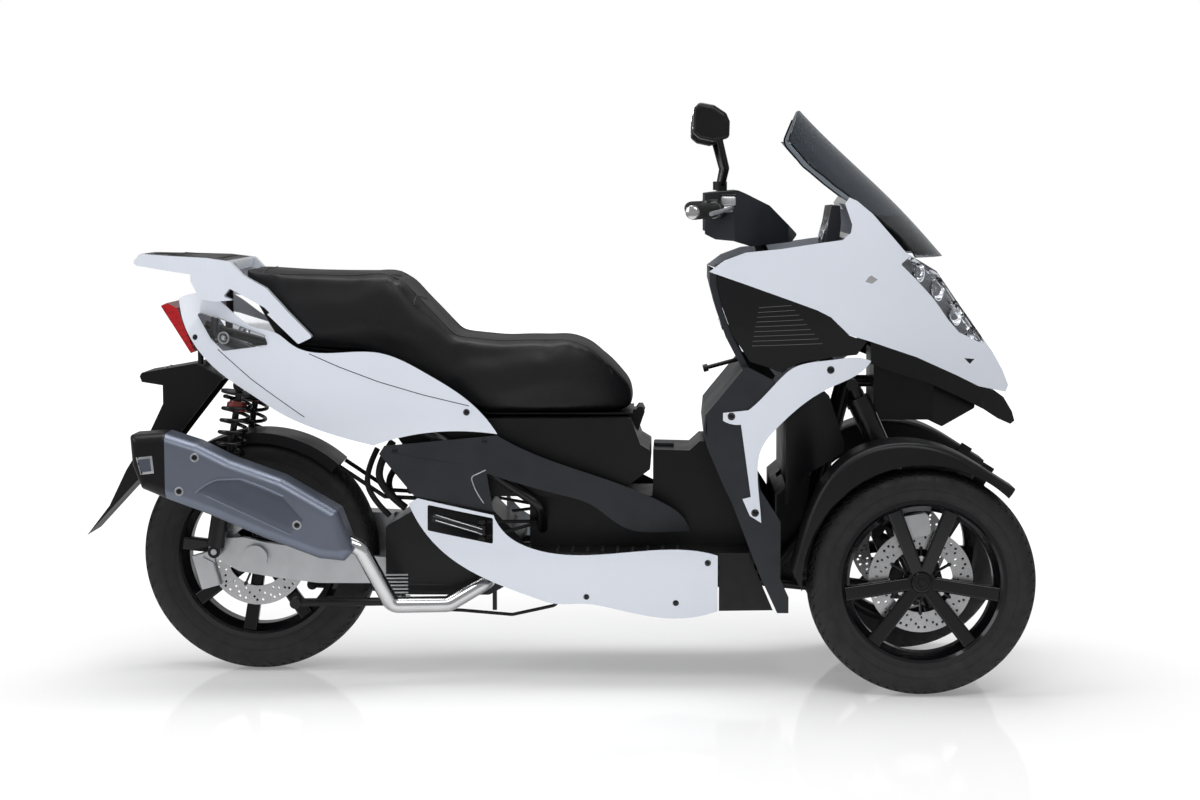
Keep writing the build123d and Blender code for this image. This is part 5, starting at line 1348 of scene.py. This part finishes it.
class SCOOTER_OT_dash_trim(bpy.types.Operator):
    """Three plain dials and the key switch"""
    bl_idname = "scooter.dash_trim"
    bl_label = "Dash"

    def execute(self, context):
        glass, rims, faces, hands = bmesh.new(), bmesh.new(), bmesh.new(), bmesh.new()
        for y, radius in DIALS:
            place, normal = land("dash", (0.40, y, 1.066), AHEAD)
            aim = (normal + UP * 0.12).normalized()
            rim = [(radius + 3, -4), (radius + 3, 2.5), (radius + 1.5, 3.5), (radius, 2.5), (radius, -1)]
            revolve(rims, rim, place, aim, 48)
            revolve(faces, [(0, 0.6), (radius, 0.6), (radius, -1)], place, aim, 48)
            revolve(glass, [(0, 2.2), (radius * 0.6, 2.0), (radius, 1.4)], place, aim, 48)
            across = aim.cross(Vector((0, 1, 0))).normalized()
            along = aim.cross(across).normalized()
            over = place + aim * 0.0009
            for number in range(DIAL_MARKS):
                turn = radians(-135 + number * 22.5)
                way = across * cos(turn) + along * sin(turn)
                bar(hands, over + way * radius * 0.00078, over + way * radius * 0.00094, 0.0014, 0.0005)
            way = across * cos(HAND_TURN) + along * sin(HAND_TURN)
            over = place + aim * 0.0012
            bar(hands, over - way * radius * 0.0002, over + way * radius * 0.0007, 0.0014, 0.0005)
        put_piece(rims, "dial_rims", "chassis", "alloy", satin_alloy())
        put_piece(faces, "dial_faces", "chassis", "dark_plastic", gloss_black())
        put_piece(hands, "dial_marks", "chassis", "gloss_white", body_white())
        put_piece(glass, "dial_glass", "chassis", "clear_lens", lamp_glass())
        bm = bmesh.new()
        place, normal = land("leg_shield", (-0.2, 0.10, 0.83), AHEAD)
        collar(bm, place, normal, 15, 10, 3)
        revolve(bm, [(0, 2), (9.6, 2), (10, 1), (10, -1)], place, normal, 32)
        put_piece(bm, "key_switch", "chassis", "alloy", satin_alloy())
        bm = bmesh.new()
        over = place + normal * 0.0021
        bar(bm, over + Vector((0, -0.0055, 0)), over + Vector((0, 0.0055, 0)), 0.0015, 0.0022)
        put_piece(bm, "key_slot", "chassis", "dark_plastic", gloss_black())
        return {"FINISHED"}


# Dark lines between the panels, at their joints, and on the panels, along their creases, where the dark
# colour is painted shade: node, (x, z) points, radius and lift in millimetres

PANEL_LINES = [
    ("rear_panels", [(-784, 785), (-700, 716), (-573, 629)], 1.2, -0.5),
    ("rear_panels", [(-560, 778), (-490, 748), (-397, 714), (-290, 683), (-185, 658)], 1.2, -0.5),
    ("mid_panels", [(-372, 548), (-300, 536), (-200, 520)], 1.0, -0.3),
]
SILVER_EDGES = [("mid_panels", [(-147, 508), (-182, 492), (-170, 458), (-152, 430)], 1.6, 0.2)]
COWL_RIBS = 9


def edge_run(node, heights, side):
    """Spots along a node's outermost edge on one side, one at each height in millimetres."""
    run = []
    for z in heights:
        near = [vert.co for vert in NODES[node].data.vertices if abs(vert.co.z - z / 1000) < 0.008]
        if near:
            run.append(max(near, key=lambda co: co.y * side).copy())
    return run


# Corners of the band, y and z in millimetres
SCREEN_BAND = [(-176, 1006), (0, 1003), (176, 1006), (184, 1092), (160, 1078), (110, 1056), (0, 1046),
               (-110, 1056), (-160, 1078), (-184, 1092)]


class SCOOTER_OT_screen_trim(bpy.types.Operator):
    """Dark edging of the windscreen and its band along the foot"""
    bl_idname = "scooter.screen_trim"
    bl_label = "Windscreen trim"

    def execute(self, context):
        edging = bmesh.new()
        for side in SIDES.values():
            run = edge_run("windscreen", range(1004, 1340, 12), side)
            tube(edging, run, 0.0022, 8)
        put_piece(edging, "screen_edging", "chassis", "gloss_black", gloss_black())
        flat = [(0, y / 1000, z / 1000) for y, z in SCREEN_BAND]
        band = drape("windscreen", flat, (0.2, 0, 0), AHEAD, 0.0012, -0.0008)
        put_piece(band, "screen_band", "chassis", "gloss_black", gloss_black())
        return {"FINISHED"}


# Control points and radius of the hoses at the engine, in millimetres
ENGINE_HOSES = [
    ([(-380, -60, 560), (-420, -75, 500), (-400, -80, 440), (-350, -70, 400)], 9),
    ([(-420, -40, 540), (-450, -60, 480), (-430, -70, 420), (-390, -60, 380)], 7),
    ([(-330, -88, 560), (-350, -92, 500), (-330, -96, 450), (-300, -92, 404)], 6),
    ([(-300, 70, 560), (-380, 80, 500), (-420, 70, 430), (-380, 60, 392)], 8),
]


class SCOOTER_OT_hoses(bpy.types.Operator):
    """Hoses and cables round the engine and down the front struts"""
    bl_idname = "scooter.hoses"
    bl_label = "Hoses"

    def execute(self, context):
        bm = bmesh.new()
        for points, radius in ENGINE_HOSES:
            tube(bm, [mm(*point) for point in points], radius / 1000, 12)
        put_piece(bm, "engine_hoses", "chassis", "rubber", hose_rubber())
        black, silver = bmesh.new(), bmesh.new()
        for side in SIDES.values():
            head = mm(742, side * 120, 668)
            points = [
                head,
                head + Vector((0.020, side * 0.014, -0.05)),
                head + Vector((0.052, side * 0.012, -0.12)),
                head + Vector((0.080, side * 0.008, -0.19)),
            ]
            tube(black, points, 0.0038, 8)
            tube(silver, [point + Vector((0.010, side * 0.004, 0)) for point in points], 0.0014, 8)
        put_piece(black, "strut_hoses", "chassis", "rubber", hose_rubber())
        put_piece(silver, "strut_lines", "chassis", "steel", bright_steel())
        return {"FINISHED"}


class SCOOTER_OT_panel_lines(bpy.types.Operator):
    """Dark lines at the joints and creases of the body panels, painted shade along the creases; silver edges
    on the body panels, ribs on the side cowls
    """
    bl_idname = "scooter.panel_lines"
    bl_label = "Panel lines"

    def execute(self, context):
        dark, bright, ribs = bmesh.new(), bmesh.new(), bmesh.new()
        for side in SIDES.values():
            for node, points, radius, lift in PANEL_LINES:
                # Black lines at the joints between the panels, and painted shade along the panels' creases
                skin_line(dark, node, points, side, radius, lift)
            for node, points, radius, lift in SILVER_EDGES:
                skin_line(bright, node, points, side, radius, lift)
            for number in range(COWL_RIBS):
                z = 800 + number * 11
                points = [(470 + number * 2, z), (632 - number * 9, z + 5)]
                skin_line(ribs, "side_cowls", points, side, 0.9, -0.5)
        # One piece of black plastic holds the dark joints and the painted crease shade
        put_piece(dark, "panel_joints_and_crease_shade", "chassis", "dark_plastic", black_plastic())
        put_piece(bright, "panel_edges", "chassis", "alloy", satin_alloy())
        put_piece(ribs, "side_cowl_ribs", "chassis", "gloss_black", gloss_black())
        return {"FINISHED"}


# Belt case bolts, x and z in metres
CASE_BOLTS = ((-0.66, 0.33), (-0.58, 0.345), (-0.50, 0.35), (-0.42, 0.34), (-0.40, 0.26), (-0.46, 0.225),
              (-0.54, 0.22), (-0.62, 0.225))
ENGINE_RIBS = 9
FLOOR_RIBS = 9
# Highest that a floorboard's top may lie, in metres
FLOOR_TOP = 0.40


class SCOOTER_OT_under_parts(bpy.types.Operator):
    """Cooling ribs, belt case bolts, floor ribs and the edges on the passenger pegs"""
    bl_idname = "scooter.under_parts"
    bl_label = "Engine and floor details"

    def execute(self, context):
        bm = bmesh.new()
        for number in range(ENGINE_RIBS):
            spot = land("engine_block", (-0.37, -1.0, 0.176 + number * 0.0085), (0, 1, 0))[0]
            rear, front = spot + Vector((-0.028, -0.001, 0)), spot + Vector((0.028, -0.001, 0))
            bar(bm, rear, front, 0.004, 0.004, 0.001)
        put_piece(bm, "engine_ribs", "chassis", "alloy", satin_alloy())
        bm = bmesh.new()
        for x, z in CASE_BOLTS:
            spot = find_skin("transmission_case", (x, 1.0, z), (0, -1, 0))[0]
            if spot is not None:
                hex_bolt(bm, spot, (0, 1, 0), 5, 4)
        put_piece(bm, "belt_case_bolts", "chassis", "steel", bright_steel())
        self.floor_ribs()
        for name, side in SIDES.items():
            self.peg_edges(name, side)
        return {"FINISHED"}

    def floor_ribs(self):
        """Ribs across the floorboards, where both ends lie on the floor."""
        bm = bmesh.new()
        for side in SIDES.values():
            for number in range(FLOOR_RIBS):
                x = 0.30 + number * -0.035
                ends = []
                for y in (0.13, 0.215):
                    spot = find_skin("footwell", (x, side * y, 0.6), DOWN)[0]
                    if spot is not None and spot.z < FLOOR_TOP:
                        ends.append(spot + UP * 0.0008)
                if len(ends) == 2 and abs(ends[0].z - ends[1].z) < 0.01:
                    bar(bm, ends[0], ends[1], 0.007, 0.003, 0.001)
        put_piece(bm, "floor_ribs", "chassis", "rubber", hose_rubber())

    def peg_edges(self, name, side):
        """Two thin edges along a passenger peg's outer side."""
        node = f"footpeg_{name}"
        low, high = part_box(node)
        middle = (low + high) / 2
        bm = bmesh.new()
        for rise in (-0.006, 0.006):
            run = []
            for step in range(-8, 9):
                x = middle.x + (high.x - low.x) * 0.42 * step / 8
                z = middle.z + rise - (x - middle.x) * 0.30
                spot = find_skin(node, (x, side * 0.5, z), (0, -side, 0))[0]
                if spot is not None:
                    run.append(spot)
            if len(run) > 2:
                tube(bm, run, 0.0013, 8)
        if not bm.verts:
            raise ValueError("the footpeg's side wasn't met")
        put_piece(bm, f"footpeg_tread_{name}", f"passenger_peg_{name}", "alloy", satin_alloy())


# Stage

def fade_colour(tree, fade, near, far, socket):
    """Colour of a shader's socket that goes from near to far as the fade does."""
    mixed = add_node(tree, "ShaderNodeMix", {"Factor": fade.outputs["Result"]}, data_type="RGBA")
    mixed.inputs[6].default_value = (*near, 1)
    mixed.inputs[7].default_value = (*far, 1)
    tree.links.new(mixed.outputs[2], socket)


def stage_material(name, colour):
    """Pale floor under the scooter that fades into a glowing white, dimmer in mirror images."""
    material, tree, shader = start_material(name)
    if tree:
        place = add_node(tree, "ShaderNodeTexCoord")
        shifted = add_node(tree, "ShaderNodeVectorMath", {0: place.outputs["Object"]}, operation="ADD")
        shifted.inputs[1].default_value = (0, 0.45, 0)
        scaled = add_node(tree, "ShaderNodeVectorMath", {0: shifted.outputs["Vector"]}, operation="MULTIPLY")
        scaled.inputs[1].default_value = (0.56, 0.60, 0)
        far = add_node(tree, "ShaderNodeVectorMath", {0: scaled.outputs["Vector"]}, operation="LENGTH")
        fade = add_node(tree, "ShaderNodeMapRange", {"Value": far.outputs["Value"]},
                        interpolation_type="SMOOTHSTEP", From_Min=0.55, From_Max=1.25)
        fade_colour(tree, fade, colour, (0, 0, 0), shader.inputs["Base Color"])
        fade_colour(tree, fade, (0.24, 0.24, 0.24), (1, 1, 1), shader.inputs["Emission Color"])
        light_path = add_node(tree, "ShaderNodeLightPath")
        strength = add_node(tree, "ShaderNodeMapRange", {"Value": light_path.outputs["Is Glossy Ray"]},
                            To_Min=1.0, To_Max=0.25)
        tree.links.new(strength.outputs["Result"], shader.inputs["Emission Strength"])
        shader.inputs["Roughness"].default_value = 0.06
        shader.inputs["Specular IOR Level"].default_value = 0.22
    return material


def area_lamp(name, place, target, size, power):
    lamp = bpy.data.lights.new(name, "AREA")
    lamp.shape = "RECTANGLE"
    lamp.size, lamp.size_y = size
    lamp.energy = power
    obj = bpy.data.objects.new(name, lamp)
    obj.location = place
    obj.rotation_euler = (Vector(target) - Vector(place)).to_track_quat("-Z", "Y").to_euler()
    bpy.context.scene.collection.objects.link(obj)


FLOOR_HALF = 14.0
# Light of the surroundings on the scooter; the camera sees them at full strength
WORLD_LIGHT = 0.34
# Name, place, target, size in metres and power in watts
AREA_LAMPS = (
    ("key_light", (0.8, -3.0, 3.4), (0, 0, 0.6), (3.0, 1.2), 48),
    ("top_light", (-0.2, 0.3, 3.8), (0, 0, 0.5), (3.6, 2.0), 92),
    ("rear_light", (-3.4, -1.2, 2.2), (0, 0, 0.6), (1.4, 2.0), 24),
)


class SCOOTER_OT_stage(bpy.types.Operator):
    """Add the floor, the soft light and the camera"""
    bl_idname = "scooter.stage"
    bl_label = "Stage"

    def execute(self, context):
        settings = stage_settings()
        scene = context.scene
        bm = bmesh.new()
        bmesh.ops.create_grid(bm, x_segments=1, y_segments=1, size=FLOOR_HALF)
        mesh = bpy.data.meshes.new("floor")
        bm.to_mesh(mesh)
        bm.free()
        floor = bpy.data.objects.new("floor", mesh)
        scene.collection.objects.link(floor)
        dress(floor, stage_material("Floor", tuple(settings.backdrop)))

        world = bpy.data.worlds.new("Studio")
        scene.world = world
        world.use_nodes = True
        tree = world.node_tree
        light_path = tree.nodes.new("ShaderNodeLightPath")
        direct = {0: light_path.outputs["Is Camera Ray"], 1: light_path.outputs["Is Transmission Ray"]}
        seen = add_node(tree, "ShaderNodeMath", direct, operation="MAXIMUM")
        dim = add_node(tree, "ShaderNodeMapRange", {"Value": seen.outputs["Value"]},
                       To_Min=WORLD_LIGHT, To_Max=1.0)
        background = tree.nodes["Background"]
        background.inputs["Color"].default_value = (1, 1, 1, 1)
        tree.links.new(dim.outputs["Result"], background.inputs["Strength"])

        for lamp in AREA_LAMPS:
            area_lamp(*lamp)

        camera = bpy.data.cameras.new("camera")
        camera.sensor_width = 36
        camera.lens = settings.lens
        camera.clip_end = 60
        obj = bpy.data.objects.new("camera", camera)
        obj.location = settings.camera_place
        obj.rotation_euler = settings.camera_turn
        scene.collection.objects.link(obj)
        scene.camera = obj
        scene.view_settings.view_transform = "Standard"
        return {"FINISHED"}


class SCOOTER_PT_panel(bpy.types.Panel):
    """Scooter pieces and finishes"""
    bl_label = "Scooter"
    bl_idname = "SCOOTER_PT_panel"
    bl_space_type = "VIEW_3D"
    bl_region_type = "UI"
    bl_category = "Scooter"

    def draw(self, context):
        layout = self.layout
        for group in (context.scene.scooter_finish, context.scene.scooter_sizes, context.scene.scooter_stage):
            for name in group.bl_rna.properties.keys():
                if name not in ("rna_type", "name"):
                    layout.prop(group, name)
        for operator in OPERATORS:
            layout.operator(operator.bl_idname)


OPERATORS = [
    SCOOTER_OT_finishes, SCOOTER_OT_tyres, SCOOTER_OT_discs, SCOOTER_OT_wheel_trim, SCOOTER_OT_springs,
    SCOOTER_OT_silencer, SCOOTER_OT_body_screws, SCOOTER_OT_lamps, SCOOTER_OT_tail, SCOOTER_OT_seat,
    SCOOTER_OT_controls, SCOOTER_OT_dash_trim, SCOOTER_OT_screen_trim, SCOOTER_OT_hoses,
    SCOOTER_OT_panel_lines, SCOOTER_OT_under_parts, SCOOTER_OT_stage,
]
CLASSES = [ScooterFinish, ScooterSizes, ScooterStage, *OPERATORS, SCOOTER_PT_panel]


def register():
    for cls in CLASSES:
        bpy.utils.register_class(cls)
    bpy.types.Scene.scooter_finish = bpy.props.PointerProperty(type=ScooterFinish)
    bpy.types.Scene.scooter_sizes = bpy.props.PointerProperty(type=ScooterSizes)
    bpy.types.Scene.scooter_stage = bpy.props.PointerProperty(type=ScooterStage)


def unregister():
    del bpy.types.Scene.scooter_finish
    del bpy.types.Scene.scooter_sizes
    del bpy.types.Scene.scooter_stage
    for cls in reversed(CLASSES):
        bpy.utils.unregister_class(cls)


def main():
    register()
    for operator in OPERATORS:
        group, name = operator.bl_idname.split(".")
        getattr(getattr(bpy.ops, group), name)()


if __name__ == "__main__":
    main()
